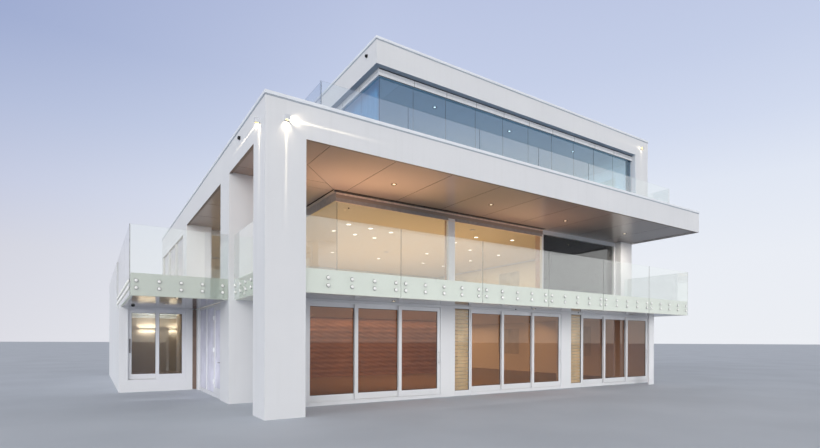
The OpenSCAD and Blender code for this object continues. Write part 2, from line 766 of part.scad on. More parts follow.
// Panes of one run of roof glass, along +X, where the last pane takes up what is left over
module roof_run(length) {
    last = max(0, round(length/roof_pane_pitch) - 1);
    for (i = [0:last])
        block([i*roof_pane_pitch + (i > 0 ? pane_joint/2 : 0), 0, z_deck + joint],
            [i < last ? (i + 1)*roof_pane_pitch - pane_joint/2 : length, pane_t, z_deck + roof_glass_h]);
}

roof_front_run = house_w - roof_glass_x - roof_right;
roof_side_run = house_d - roof_glass_y - band_t - roof_glass_y;
roof_return_run = top_y + pier_back - roof_glass_y - shoe_w - 2*joint;

// Roof glass: a run along the front, one along the left and a short return on the right
module roof_glass() place() color(pane_blue) {
    translate([roof_glass_x, roof_glass_y + (shoe_w - pane_t)/2, 0]) roof_run(roof_front_run);
    translate([roof_glass_x + (shoe_w + pane_t)/2, roof_glass_y + shoe_w, 0])
        rotate([0, 0, 90]) roof_run(roof_side_run);
    translate([house_w - roof_right - (shoe_w - pane_t)/2, roof_glass_y + shoe_w, 0])
        rotate([0, 0, 90]) roof_run(roof_return_run);
}

// Shoe along the foot of the roof glass, in two cheeks that grip it
module shoe_run(length)
    for (y = [0, (shoe_w + pane_t)/2 + joint])
        block([0, y, z_deck], [length, y + (shoe_w - pane_t)/2 - joint, z_deck + shoe_h]);

module roof_shoe() place() color(metal) {
    translate([roof_glass_x, roof_glass_y, 0]) shoe_run(roof_front_run);
    translate([roof_glass_x + shoe_w, roof_glass_y + shoe_w + joint, 0]) rotate([0, 0, 90])
        shoe_run(roof_side_run);
    translate([house_w - roof_right, roof_glass_y + shoe_w + joint, 0]) rotate([0, 0, 90])
        shoe_run(roof_return_run);
}

// Solid walls of the top storey, with windows at the back and on the right
module top_walls() place() color(white) {
    block([top_glass_x, top_side_end, z_deck],
        [top_glass_x + wall_t, top_rear - wall_t - joint, z_top_soffit]);
    difference() {
        block([top_glass_x, top_rear - wall_t, z_deck], [top_end, top_rear, z_top_soffit]);
        window_row_x(rear_windows, top_glass_x + wall_t, top_end - wall_t,
            top_rear - wall_t - eps, top_rear + eps, z_deck);
    }
    difference() {
        block([top_end - wall_t, top_y + pier_back + pier_d + joint, z_deck],
            [top_end, top_rear - wall_t - joint, z_top_soffit]);
        window_row_y(right_windows, top_y + pier_back + pier_d, top_rear - wall_t,
            top_end - wall_t - eps, top_end + eps, z_deck);
    }
}

module top_pier() place() color(white)
    block([top_pier_x, top_y + pier_back, z_deck], [top_end, top_y + pier_back + pier_d, z_top_soffit]);

module top_roof() place() color(white)
    block([top_x + top_setback + joint, top_y + top_setback + joint, z_top_soffit],
        [top_end - top_setback - joint, top_rear - top_setback - joint, z_top_soffit + top_slab_t]);

module top_fascia() place() color(white) difference() {
    ring(top_x, top_y, top_end, top_rear, top_setback, z_top_soffit, z_top_cap);
    translate([top_x, top_y + top_overflow_y, z_top_soffit + top_overflow_z]) overflow_hole();
}

module top_cap() place() color(metal)
    ring(top_x - cap_over, top_y - cap_over, top_end + cap_over, top_rear + cap_over,
        top_setback + cap_over, z_top_cap, z_top_cap + cap_t);

// Two-part head track and sill of the top glass
module top_bar(z0, z1) {
    block([top_glass_x, top_glass_y, z0], [top_pier_x - joint, top_glass_y + track_w, z1]);
    block([top_glass_x, top_glass_y + track_w + joint, z0],
        [top_glass_x + track_w, top_side_end - joint, z1]);
}

module top_frames() place() color(frame_white) {
    top_bar(z_deck, z_deck + top_sill_h);
    top_bar(z_top_soffit - track_h, z_top_soffit - track_h/2 - track_reveal/2);
    top_bar(z_top_soffit - track_h/2 + track_reveal/2, z_top_soffit);
    // Recessed web that joins the two parts of the track
    inset = track_reveal;
    block([top_glass_x + inset, top_glass_y + inset, z_top_soffit - track_h/2 - track_reveal],
        [top_pier_x - joint, top_glass_y + track_w - inset, z_top_soffit - track_h/2 + track_reveal]);
    block([top_glass_x + inset, top_glass_y + track_w + joint, z_top_soffit - track_h/2 - track_reveal],
        [top_glass_x + track_w - inset, top_side_end - joint, z_top_soffit - track_h/2 + track_reveal]);
}

// Frameless panels of the top storey, side by side with open joints
module top_glass() place() color(pane_blue) {
    z0 = z_deck + top_sill_h + joint;
    z1 = z_top_soffit - track_h - joint;
    y = top_glass_y + (track_w - top_glass_t)/2;
    x = top_glass_x + (track_w - top_glass_t)/2;
    for (i = [0:top_panes - 1])
        block([i == 0 ? x : top_glass_x + i*top_pane_w, y, z0],
            [top_glass_x + (i + 1)*top_pane_w - top_glass_t, y + top_glass_t, z1]);
    for (i = [0:top_side_panes - 1])
        block([x, i == 0 ? y + 2*top_glass_t : top_glass_y + i*top_pane_w, z0],
            [x + top_glass_t, top_glass_y + (i + 1)*top_pane_w - top_glass_t, z1]);
}

// Balcony glass in front of the floor edge, with the first pane cut short by the column
front_panes = ceil((balcony_right - column_w)/pane_pitch);
function pane_edge(i) = balcony_right - (front_panes - i)*pane_pitch;
function pane_x0(i) = max(column_w, pane_edge(i)) + pane_joint/2;
function pane_x1(i) = pane_edge(i + 1) - (i < front_panes - 1 ? pane_joint/2 : 0);

pane_low = ground_clear + pane_drop;
pane_top = z_floor + barrier_h;

module balcony_glass() place() color(pane_blue) {
    for (i = [0:front_panes - 1])
        block([pane_x0(i), pane_inset, pane_low], [pane_x1(i), pane_inset + pane_t, pane_top]);
    block([pane_inset, column_d + pane_joint, pane_low],
        [pane_inset + pane_t, side_pier_y - pane_joint, pane_top]);
    block([balcony_right - pane_t, pane_inset + pane_t + pane_joint, pane_low],
        [balcony_right, right_pier_y - pane_joint, pane_top]);
}

terrace_run = parapet_y - terrace_y - pane_t - pane_joint;
terrace_panes = ceil(terrace_run/pane_pitch);
function terrace_pane_y(i) = terrace_y + pane_t + pane_joint + i*terrace_run/terrace_panes;

module terrace_glass() place() color(pane_blue) {
    block([terrace_left, terrace_y, pane_low], [-pane_joint, terrace_y + pane_t, pane_top]);
    for (i = [0:terrace_panes - 1])
        block([terrace_left, terrace_pane_y(i), pane_low],
            [terrace_left + pane_t, terrace_pane_y(i + 1) - pane_joint, pane_top]);
}

// One fixing: a round button on the outside of the glass and a spacer behind it
module fixing() rotate([90, 0, 0]) {
    cylinder(h = button_t, d = button_d, $fn = 32);
    translate([0, 0, -pane_t - pane_gap]) cylinder(h = pane_gap, d = spacer_d, $fn = 32);
}

// Fixings of one pane, along +X from 0 to the pane's length, leaving out those before x_min
module fixings(length, x_min = 0)
    for (i = [0:button_cols - 1], row = [0, 1]) {
        x = button_edge + i*(length - 2*button_edge)/(button_cols - 1);
        if (x >= x_min)
            translate([x, 0, ground_clear + button_low + row*button_rise]) fixing();
    }

module glass_fixings() place() color(metal) {
    for (i = [0:front_panes - 1])
        translate([pane_edge(i), pane_inset, 0])
            fixings(pane_pitch, column_w + button_d - pane_edge(i));
    translate([pane_inset, side_pier_y, 0]) rotate([0, 0, -90]) fixings(side_pier_y - column_d);
    translate([balcony_right, pane_inset, 0]) rotate([0, 0, 90]) fixings(right_pier_y - pane_inset);
    translate([terrace_left, terrace_y, 0]) fixings(-terrace_left);
    for (i = [0:terrace_panes - 1])
        translate([terrace_left, terrace_pane_y(i) + terrace_run/terrace_panes, 0])
            rotate([0, 0, -90]) fixings(terrace_run/terrace_panes);
}

// Frame of one sliding leaf, along +X with its outer face at Y = 0, grooved for the glass
module leaf_frame(w, z0, z1, t) difference() {
    block([0, 0, z0], [w, t, z1]);
    block([stile_w, -eps, z0 + bottom_rail_h], [w - stile_w, t + eps, z1 - top_rail_h]);
    block([stile_w - groove, (t - glass_t)/2 - joint, z0 + bottom_rail_h - groove],
        [w - stile_w + groove, (t + glass_t)/2 + joint, z1 - top_rail_h + groove]);
}

module leaf_glass(w, z0, z1, t)
    block([stile_w - groove + joint, (t - glass_t)/2, z0 + bottom_rail_h - groove + joint],
        [w - stile_w + groove - joint, (t + glass_t)/2, z1 - top_rail_h + groove - joint]);

// Rollers under a leaf, which run on the rail of its track
module rollers(w, z0) intersection() {
    for (x = [stile_w, w - stile_w])
        translate([x, leaf_t/2 - rail_w/2, z0 - slide_gap + roller_clear + roller_r])
            rotate([-90, 0, 0]) cylinder(h = rail_w, r = roller_r, $fn = 48);
    block([0, 0, z0 - slide_gap], [w, leaf_t, z0 + groove]);
}

// Upright bar handle on the outer face of a stile
module bar_handle(x, z) {
    block([x - handle_w/2, -handle_out - handle_w/2, z - handle_l/2],
        [x + handle_w/2, -handle_out, z + handle_l/2]);
    for (s = [-1, 1])
        block([x - handle_w/2, -handle_out - eps, z + s*handle_l/3 - handle_w/2],
            [x + handle_w/2, eps, z + s*handle_l/3 + handle_w/2]);
}

// Sill, head and jambs of one sliding door opening, along +X with the outer face at Y = 0.
// The sill has a rail under each track but the fixed leaf's, and fins under the head part the leaves.
module slider_frame(w, depth, z0, z1, tracks, fixed_track) {
    margin = (depth - tracks*leaf_t - (tracks - 1)*track_gap)/2;
    block([0, 0, z0], [w, depth, z0 + sill_h]);
    for (i = [0:tracks - 1]) if (i != fixed_track)
        block([jamb_w + joint, margin + i*track_step + (leaf_t - rail_w)/2, z0 + sill_h - eps],
            [w - jamb_w - joint, margin + i*track_step + (leaf_t + rail_w)/2, z0 + sill_h + rail_h]);
    block([0, 0, z1 - head_h], [w, depth, z1]);
    for (i = [1:tracks - 1])
        block([jamb_w + joint, margin + i*track_step - track_gap/2 - fin_w/2, z1 - head_h - fin_h],
            [w - jamb_w - joint, margin + i*track_step - track_gap/2 + fin_w/2, z1 - head_h + eps]);
    for (x = [0, w - jamb_w])
        block([x, 0, z0 + sill_h + joint], [x + jamb_w, depth, z1 - head_h - joint]);
}

// Leaf places of a front set, counted from the fixed leaf on the left, on tracks counted from outside
function leaf_x(k) = jamb_w + slide_gap + k*(leaf_w - stile_w);
function leaf_y(track) = (door_frame_d - 3*leaf_t - 2*track_gap)/2 + track*track_step;

module at_leaf(set, k) translate([set_x(set) + leaf_x(k), door_set_y + leaf_y(2 - k), 0]) children();

module sliding_leaf(set, k) place() color(frame_white) at_leaf(set, k) {
    leaf_frame(leaf_w, leaf_low, leaf_high, leaf_t);
    rollers(leaf_w, leaf_low);
    if (k == 2)
        bar_handle(leaf_w - stile_w/2, ground_slab_t + sill_h + handle_z);
}

module sliding_glass(set, k) place() color(bronze) at_leaf(set, k)
    leaf_glass(leaf_w, leaf_low, leaf_high, leaf_t);

module left_middle_leaf() sliding_leaf(0, 1);
module left_middle_glass() sliding_glass(0, 1);
module left_lead_leaf() sliding_leaf(0, 2);
module left_lead_glass() sliding_glass(0, 2);
module centre_middle_leaf() sliding_leaf(1, 1);
module centre_middle_glass() sliding_glass(1, 1);
module centre_lead_leaf() sliding_leaf(1, 2);
module centre_lead_glass() sliding_glass(1, 2);
module right_middle_leaf() sliding_leaf(2, 1);
module right_middle_glass() sliding_glass(2, 1);
module right_lead_leaf() sliding_leaf(2, 2);
module right_lead_glass() sliding_glass(2, 2);

// Wing door: a fixed leaf on the right, on the outer track, and a sliding leaf on the left behind it
wing_x = -wing_w + wing_wall_t;
wing_opening = wing_w - wing_wall_t - wing_jamb_w;
wing_margin = (wing_wall_t - 2*leaf_t - track_gap)/2;

module at_wing_leaf() translate([wing_x + jamb_w + slide_gap,
    wing_y + wing_margin + track_step, 0]) children();

module at_wing_fixed() translate([wing_x + wing_opening - jamb_w - joint - wing_leaf_w,
    wing_y + wing_margin, 0]) children();

module wing_leaf() place() color(frame_white) at_wing_leaf() {
    leaf_frame(wing_leaf_w, wing_leaf_low, leaf_high, leaf_t);
    rollers(wing_leaf_w, wing_leaf_low);
    bar_handle(stile_w/2, wing_floor_h + sill_h + handle_z);
}

module wing_leaf_glass() place() color(bronze) at_wing_leaf()
    leaf_glass(wing_leaf_w, wing_leaf_low, leaf_high, leaf_t);

// Frames of every ground-floor door, with the fixed hinge knuckles of the side door
module door_frames() place() color(frame_white) {
    for (i = [0:door_sets - 1])
        translate([set_x(i), door_set_y, 0]) {
            slider_frame(set_w, door_frame_d, ground_slab_t, ground_clear, 3, 2);
            block([0, 0, 0], [set_w, door_frame_d, ground_slab_t + eps]);
        }
    translate([wing_x, wing_y, 0])
        slider_frame(wing_opening, wing_wall_t, wing_floor_h, ground_clear, 2, 0);
    side_frames();
}

// Fixed leaves of the sliding doors, and the frames of the slot windows
module fixed_leaves() place() color(frame_white) {
    for (i = [0:door_sets - 1])
        at_leaf(i, 0) leaf_frame(leaf_w, fixed_low, fixed_high, leaf_t);
    for (i = [0:door_sets - 2])
        translate([set_x(i) + set_w + pilaster_w, door_set_y + leaf_y(0), 0]) slot_frame();
    at_wing_fixed() leaf_frame(wing_leaf_w, wing_floor_h + sill_h + joint, fixed_high, leaf_t);
}

module slot_frame() difference() {
    block([joint, 0, 0], [slot_w - joint, leaf_t, ground_clear]);
    block([slot_stile, -eps, slot_rail], [slot_w - slot_stile, leaf_t + eps, ground_clear - head_h]);
    block([slot_stile - groove, (leaf_t - glass_t)/2 - joint, slot_rail - groove],
        [slot_w - slot_stile + groove, (leaf_t + glass_t)/2 + joint, ground_clear - head_h + groove]);
}

module fixed_glass() place() color(bronze) {
    for (i = [0:door_sets - 1])
        at_leaf(i, 0) leaf_glass(leaf_w, fixed_low, fixed_high, leaf_t);
    for (i = [0:door_sets - 2])
        translate([set_x(i) + set_w + pilaster_w, door_set_y + leaf_y(0), 0])
            block([slot_stile - groove + joint, (leaf_t - glass_t)/2, slot_rail - groove + joint],
                [slot_w - slot_stile + groove - joint, (leaf_t + glass_t)/2,
                ground_clear - head_h + groove - joint]);
    at_wing_fixed() leaf_glass(wing_leaf_w, wing_floor_h + sill_h + joint, fixed_high, leaf_t);
    for (i = [1:side_lights])
        block([side_face + (side_frame_d - glass_t)/2, side_post_y(i) + side_frame_w + joint,
            side_sill_h + joint], [side_face + (side_frame_d + glass_t)/2,
            side_post_y(i + 1) - joint, side_head_z - joint]);
}

// Blinds behind the slot windows: slats on two ladder tapes
module slot_blinds() place() color(blind_cream)
    for (i = [0:door_sets - 2])
        translate([set_x(i) + set_w + pilaster_w, door_set_y + leaf_y(0) + leaf_t + joint, 0]) {
            for (z = [slot_rail:slat_pitch:ground_clear - slat_pitch])
                block([2*joint, slat_t, z], [slot_w - 2*joint, slat_d, z + slat_t]);
            for (x = [slot_w/4, 3*slot_w/4])
                block([x, 0, slot_rail - joint], [x + 3*slat_t, slat_t + eps, ground_clear - joint]);
        }

// Sheets of glass in the rear and right-hand windows
module window_glass() place() color(pane_blue) {
    for (z = [ground_slab_t, z_floor]) {
        for (i = [0:rear_windows - 1])
            sheet([window_at(i, rear_windows, wall_t, inner_right), inner_rear + wall_t/2, z], false);
        for (i = [0:right_windows - 1])
            sheet([inner_right + wall_t/2, window_at(i, right_windows, pier_right_back, inner_rear), z],
                true);
    }
    for (i = [0:rear_windows - 1])
        sheet([window_at(i, rear_windows, top_glass_x + wall_t, top_end - wall_t),
            top_rear - wall_t/2, z_deck], false);
    for (i = [0:right_windows - 1])
        sheet([top_end - wall_t/2, window_at(i, right_windows, top_y + pier_back + pier_d,
            top_rear - wall_t), z_deck], true);
}

// One sheet that fills a window opening whose low corner is at the given place on its floor
module sheet(at, turned)
    translate(at + [0, 0, window_sill])
        block([turned ? -glass_t/2 : joint, turned ? joint : -glass_t/2, joint],
            [turned ? glass_t/2 : window_w - joint, turned ? window_w - joint : glass_t/2,
            window_h - joint]);

// Posts of the side glazing: the first stands at the side pier, and the door is beyond it
function side_post_y(i) = side_pier_y + side_pier_d
    + (i == 0 ? 0 : side_frame_w + side_door_w + 2*slide_gap + (i - 1)*(side_frame_w + side_light_w));

module side_frames() {
    end = side_post_y(side_lights + 1) + side_frame_w;
    block([side_face, side_post_y(0), 0], [return_wall_t, end, side_sill_h]);
    block([side_face, side_post_y(0), side_head_z], [side_face + side_frame_d, end, ground_clear]);
    for (i = [0:side_lights + 1])
        block([side_face, side_post_y(i), side_sill_h + joint],
            [side_face + side_frame_d, side_post_y(i) + side_frame_w, side_head_z - joint]);
    // Fixed knuckles stand on the door side of the second post, and each carries its pin
    for (z = hinge_levels)
        translate([hinge_x, hinge_y, z]) {
            cylinder(h = knuckle_l, r = barrel_r, $fn = 48);
            cylinder(h = 2*knuckle_l + joint, r = hinge_r, $fn = 48);
            block([side_face - hinge_x - flap_t, 0, 0], [side_face - hinge_x, side_frame_w, knuckle_l]);
        }
}

// Hinged side door: it opens outwards about the edge that lies towards the wing
module side_door() place() color(frame_white) {
    difference() {
        block([side_face, side_leaf_y, side_leaf_low],
            [side_face + side_door_t, side_leaf_y + side_door_w, side_leaf_high]);
        block([side_face - eps, side_leaf_y + stile_w, side_leaf_low + bottom_rail_h],
            [side_face + side_door_t + eps, side_leaf_y + side_door_w - stile_w,
            side_leaf_high - top_rail_h]);
        block([side_face + (side_door_t - glass_t)/2 - joint, side_leaf_y + stile_w - groove,
            side_leaf_low + bottom_rail_h - groove],
            [side_face + (side_door_t + glass_t)/2 + joint,
            side_leaf_y + side_door_w - stile_w + groove, side_leaf_high - top_rail_h + groove]);
    }
    for (z = hinge_levels)
        translate([hinge_x, hinge_y, z + knuckle_l + roller_clear]) difference() {
            union() {
                cylinder(h = knuckle_l, r = barrel_r, $fn = 48);
                block([side_face - hinge_x - flap_t, -side_frame_w, 0],
                    [side_face - hinge_x, 0, knuckle_l]);
            }
            translate([0, 0, -eps]) cylinder(h = knuckle_l + 2*eps, r = hinge_r + hinge_clear, $fn = 48);
        }
    // Lever handle on the stile beside the pier
    translate([side_face, side_leaf_y + stile_w/2, side_sill_h + lever_z]) {
        rotate([0, -90, 0]) cylinder(h = lever_t, d = 3*lever_t, $fn = 32);
        rotate([0, -90, 0]) cylinder(h = lever_out, d = lever_t, $fn = 32);
        translate([-lever_out, 0, 0]) rotate([-90, 0, 0]) cylinder(h = lever_l, d = lever_t, $fn = 32);
    }
}

module side_door_glass() place() color(bronze)
    block([side_face + (side_door_t - glass_t)/2, side_leaf_y + stile_w - groove + joint,
        side_leaf_low + bottom_rail_h - groove + joint],
        [side_face + (side_door_t + glass_t)/2, side_leaf_y + side_door_w - stile_w + groove - joint,
        side_leaf_high - top_rail_h + groove - joint]);

// One box light on a wall at Y = 0, with a lens sunk in its underside and in each side named
module wall_light(sides) difference() {
    half = light_w/2;
    lens = half - lens_rim;
    block([-half, -light_d, -half], [half, 0, half]);
    block([-lens, lens_rim - light_d, -half - eps], [lens, -lens_rim, lens_sunk - half]);
    for (side = sides)
        block([side*half - lens_sunk, lens_rim - light_d, -lens],
            [side*half + lens_sunk, -lens_rim, lens]);
}

// Box lights on both faces of the column's corner and at the right end of the top fascia
module wall_lights() place() color(metal) {
    translate([column_w/2, 0, z_band + light_rise]) wall_light([1]);
    translate([0, column_d/2, z_band + light_rise]) rotate([0, 0, -90]) wall_light([-1]);
    translate([top_end - top_light_back, top_y, z_top_soffit + fascia_h/2]) wall_light([-1, 1]);
}

ground_floor();
corner_column();
side_piers();
end_post();
front_pilasters();
return_walls();
side_wall();
wing_front_wall();
wing_left_wall();
rear_wall();
right_wall();
right_pier();
inner_walls();
mid_floor();
balcony_slab();
terrace_slab();
lower_soffit();
mid_frames();
mid_glass();
roof_deck();
roof_soffit();
front_band();
side_bands();
rear_band();
band_cap();
roof_glass();
roof_shoe();
top_walls();
top_pier();
top_roof();
top_fascia();
top_cap();
top_frames();
top_glass();
balcony_glass();
terrace_glass();
glass_fixings();
door_frames();
fixed_leaves();
fixed_glass();
slot_blinds();
window_glass();
wall_lights();
left_middle_leaf();
left_middle_glass();
left_lead_leaf();
left_lead_glass();
centre_middle_leaf();
centre_middle_glass();
centre_lead_leaf();
centre_lead_glass();
right_middle_leaf();
right_middle_glass();
right_lead_leaf();
right_lead_glass();
wing_leaf();
wing_leaf_glass();
side_door();
side_door_glass();
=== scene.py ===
# A white beach house of three storeys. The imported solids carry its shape; this file gives them
# their finishes and adds the small fittings, in the order in which such a house is put together.
import math

import bmesh
import bpy
from mathutils import Matrix, Vector


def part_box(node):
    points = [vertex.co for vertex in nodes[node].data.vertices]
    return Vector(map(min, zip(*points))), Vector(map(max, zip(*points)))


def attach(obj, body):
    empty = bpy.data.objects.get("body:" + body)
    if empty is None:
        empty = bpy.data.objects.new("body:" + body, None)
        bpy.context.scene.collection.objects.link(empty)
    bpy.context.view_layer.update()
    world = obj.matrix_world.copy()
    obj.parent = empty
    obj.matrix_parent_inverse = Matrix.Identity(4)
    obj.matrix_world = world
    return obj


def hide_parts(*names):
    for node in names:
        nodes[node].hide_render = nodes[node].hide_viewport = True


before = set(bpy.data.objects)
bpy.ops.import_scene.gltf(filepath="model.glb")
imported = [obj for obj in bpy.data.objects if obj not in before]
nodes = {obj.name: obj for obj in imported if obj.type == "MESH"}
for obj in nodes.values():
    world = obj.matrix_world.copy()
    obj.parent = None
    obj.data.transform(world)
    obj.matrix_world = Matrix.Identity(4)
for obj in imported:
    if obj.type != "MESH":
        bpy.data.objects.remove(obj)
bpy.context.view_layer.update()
scene = bpy.context.scene


# CAMERA: it stands off the left front corner at eye height, level and turned to the right.
# House places are metres from the foot of the corner column, which at() turns into the frame.
house_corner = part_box("corner_column")[0]


def at(x, y, z):
    return Vector((house_corner.x + x, house_corner.y + y, z))


eye = bpy.data.objects.new("eye", bpy.data.cameras.new("eye"))
eye.location = at(-2.7595, -9.3435, 1.5)
eye.rotation_euler = [math.radians(turn) for turn in (90, -0.2, -32.93)]
eye.data.lens = 21.6
eye.data.shift_y = 0.144
eye.data.clip_end = 3000
scene.collection.objects.link(eye)
scene.camera = eye
scene.view_settings.view_transform = "Standard"


# STUDIO: a pale floor under a pale evening sky that is whiter low on the side that the house
# faces. A broad low lamp shines from the front left, and weaker ones from the left and right.
def linear(red, green, blue, share=1.0):
    """A share of a screen colour, as the linear values that a shader takes."""
    levels = [v * share for v in (red, green, blue)]
    return (*(v / 12.92 if v <= 0.04045 else ((v + 0.055) / 1.055) ** 2.4 for v in levels), 1)


def put(tree, kind, inputs=None, **settings):
    """A shader node; an input takes a plain value, or the output of another node."""
    node = tree.nodes.new("ShaderNode" + kind)
    for key, value in settings.items():
        setattr(node, key, value)
    for key, value in (inputs or {}).items():
        if isinstance(value, bpy.types.NodeSocket):
            tree.links.new(value, node.inputs[key])
        else:
            node.inputs[key].default_value = value
    return node


def ramp(tree, value, stops):
    """A colour ramp through stops of (place, screen colour)."""
    node = put(tree, "ValToRGB", {"Fac": value})
    marks = node.color_ramp.elements
    while len(marks) < len(stops):
        marks.new(0.5)
    for mark, (place, colour) in zip(marks, stops):
        mark.position = place
        mark.color = linear(*colour)
    return node.outputs["Color"]


def math_of(tree, kind, first, second):
    """The sum, product, greater or lesser of two values."""
    return put(tree, "Math", {0: first, 1: second}, operation=kind).outputs[0]


def between(tree, mask, colour, other):
    """One colour where the mask is 0 and the other where it is 1."""
    return put(tree, "Mix", {0: mask, 6: colour, 7: other}, data_type="RGBA").outputs[2]


def stretch(tree, value, start, end):
    """A mask that runs from 0 at the start value to 1 at the end value."""
    return put(tree, "MapRange", {"Value": value, "From Min": start, "From Max": end}).outputs[0]


def mixed(tree, share, first, second):
    """The first shader where the share is 0 and the second where it is 1."""
    return put(tree, "MixShader", {0: share, 1: first.outputs[0], 2: second.outputs[0]})


sky = bpy.data.worlds.new("evening_sky")
sky.use_nodes = True
scene.world = sky
tree = sky.node_tree
tree.nodes.clear()
way = put(tree, "SeparateXYZ", {"Vector": put(tree, "TexCoord").outputs["Generated"]}).outputs
left_sky = ramp(tree, way["Z"], [
    (0.0, (0.86, 0.86, 0.89)), (0.15, (0.82, 0.825, 0.87)), (0.25, (0.76, 0.785, 0.875)),
    (0.36, (0.68, 0.725, 0.845)), (0.46, (0.60, 0.655, 0.805)), (0.66, (0.56, 0.61, 0.78))])
right_sky = ramp(tree, way["Z"], [
    (0.0, (0.925, 0.935, 0.955)), (0.15, (0.915, 0.93, 0.96)), (0.27, (0.88, 0.905, 0.955)),
    (0.36, (0.82, 0.855, 0.935)), (0.46, (0.77, 0.81, 0.91)), (0.58, (0.73, 0.77, 0.885))])
glow = between(tree, stretch(tree, way["X"], -0.2, 0.4), left_sky, right_sky)
bright_side = math_of(tree, "MAXIMUM", stretch(tree, way["Y"], -0.02, -0.3),
    stretch(tree, way["X"], -0.14, -0.3))
low_down = stretch(tree, way["Z"], 0.42, 0.22)
glow = between(tree, math_of(tree, "MULTIPLY", bright_side, low_down), glow, (1, 1, 1, 1))
seen = put(tree, "Background", {"Color": glow})
cast = put(tree, "Background", {"Color": linear(0.97, 0.98, 1.0), "Strength": 0.42})
path = put(tree, "LightPath").outputs
looks = math_of(tree, "MAXIMUM", path["Is Camera Ray"], path["Is Glossy Ray"])
looks = math_of(tree, "MAXIMUM", looks, path["Is Transmission Ray"])
put(tree, "OutputWorld", {"Surface": mixed(tree, looks, cast, seen).outputs[0]})


def lamp(name, kind, place, target, power, colour, **settings):
    """A lamp of that kind aimed at a point, and not itself seen or mirrored."""
    light = bpy.data.objects.new(name, bpy.data.lights.new(name, kind))
    light.location = place
    light.rotation_euler = (target - place).to_track_quat("-Z", "Y").to_euler()
    light.data.energy = power
    light.data.color = linear(*colour)[:3]
    for key, value in settings.items():
        setattr(light.data, key, value)
    for ray in ("camera", "glossy", "transmission"):
        setattr(light, "visible_" + ray, False)
    scene.collection.objects.link(light)


lamp("front_lamp", "SUN", at(-18, -42, 9), at(4, 4, 0), 1.85, (1.0, 0.99, 0.97), angle=0.8)
lamp("left_lamp", "SUN", at(-40, -2, 10), at(0, 6, 0), 1.22, (0.97, 0.98, 1.0), angle=0.9)
lamp("right_lamp", "SUN", at(40, -10, 14), at(0, 6, 0), 0.4, (1.0, 0.99, 0.97), angle=0.9)


def finish(name, colour, roughness, metallic=0.0, coat=0.0, coat_roughness=0.1):
    """A new material with its node tree and its shader."""
    material = bpy.data.materials.new(name)
    material.use_nodes = True
    shader = material.node_tree.nodes["Principled BSDF"]
    for socket, value in {"Base Color": linear(*colour), "Roughness": roughness, "Metallic": metallic,
            "Coat Weight": coat, "Coat Roughness": coat_roughness}.items():
        shader.inputs[socket].default_value = value
    return material, material.node_tree, shader


def coloured(shader, colour):
    """Gives a finish its colour from the output of a node."""
    shader.id_data.links.new(colour, shader.inputs["Base Color"])


def on_surface(tree):
    """Each point's place on its object, in metres."""
    return put(tree, "TexCoord").outputs["Object"]


def scaled(tree, scale):
    """The same place with each direction scaled, for a texture that is longer one way."""
    return put(tree, "Mapping", {"Vector": on_surface(tree), "Scale": scale}).outputs[0]


def noise(tree, where, scale, detail, roughness=0.5):
    """A cloudy value that changes over a surface."""
    return put(tree, "TexNoise", {"Vector": where, "Scale": scale, "Detail": detail,
        "Roughness": roughness}).outputs["Fac"]


def made(name, mesh, materials, body="house"):
    """A finished piece from a bmesh, sharp where it turns hard, riding on a body."""
    hard_turn = math.radians(32)
    data = bpy.data.meshes.new(name)
    bmesh.ops.recalc_face_normals(mesh, faces=mesh.faces)
    mesh.to_mesh(data)
    mesh.free()
    data.shade_smooth()
    data.set_sharp_from_angle(angle=hard_turn)
    for material in materials:
        data.materials.append(material)
    piece = bpy.data.objects.new(name, data)
    scene.collection.objects.link(piece)
    if body:
        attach(piece, body)
    return piece


floor_mesh = bmesh.new()
bmesh.ops.create_grid(floor_mesh, x_segments=8, y_segments=8, size=900)
floor_paint, tree, shader = finish("studio_floor", (0.80, 0.81, 0.835), 0.75)
mottle = noise(tree, on_surface(tree), 0.35, 3.0)
coloured(shader, ramp(tree, mottle, [(0.35, (0.74, 0.76, 0.79)), (0.65, (0.77, 0.79, 0.82))]))
made("studio_floor", floor_mesh, [floor_paint], body=None)


# RENDERED WALLS: brick and frame walls under an acrylic render, trowelled fine and painted
# white. The paint is a little uneven, has faint runs below its edges, and is greyer at its foot.
def group(name, inputs, outputs):
    """A shader node group with its input and output nodes, from values and from kinds by name."""
    box = bpy.data.node_groups.new(name, "ShaderNodeTree")
    for label, value in inputs.items():
        kind = "Float" if isinstance(value, float) else {3: "Vector", 4: "Color"}[len(value)]
        socket = box.interface.new_socket(label, in_out="INPUT", socket_type="NodeSocket" + kind)
        socket.default_value = value
    for label, kind in outputs.items():
        box.interface.new_socket(label, in_out="OUTPUT", socket_type="NodeSocket" + kind)
    return box, box.nodes.new("NodeGroupInput").outputs, box.nodes.new("NodeGroupOutput").inputs


def use(tree, box, inputs):
    """A node group placed in a material with its own values."""
    return put(tree, "Group", inputs, node_tree=box).outputs


white, black = (1, 1, 1, 1), (0, 0, 0, 1)
uneven, given, out = group("uneven_coat", {"Colour": white, "Other": white, "Patch size": 1.0,
    "Grain": 100.0, "Amount": 0.5}, {"Colour": "Color", "Height": "Float"})
where = on_surface(uneven)
patch = noise(uneven, where, math_of(uneven, "DIVIDE", 1.0, given["Patch size"]), 4.0)
grain = noise(uneven, where, given["Grain"], 2.0)
blend = put(uneven, "Math", {0: grain, 1: 0.35, 2: patch}, operation="MULTIPLY_ADD").outputs[0]
blend = math_of(uneven, "MULTIPLY", stretch(uneven, blend, 0.45, 0.95), given["Amount"])
uneven.links.new(between(uneven, blend, given["Colour"], given["Other"]), out["Colour"])
uneven.links.new(grain, out["Height"])

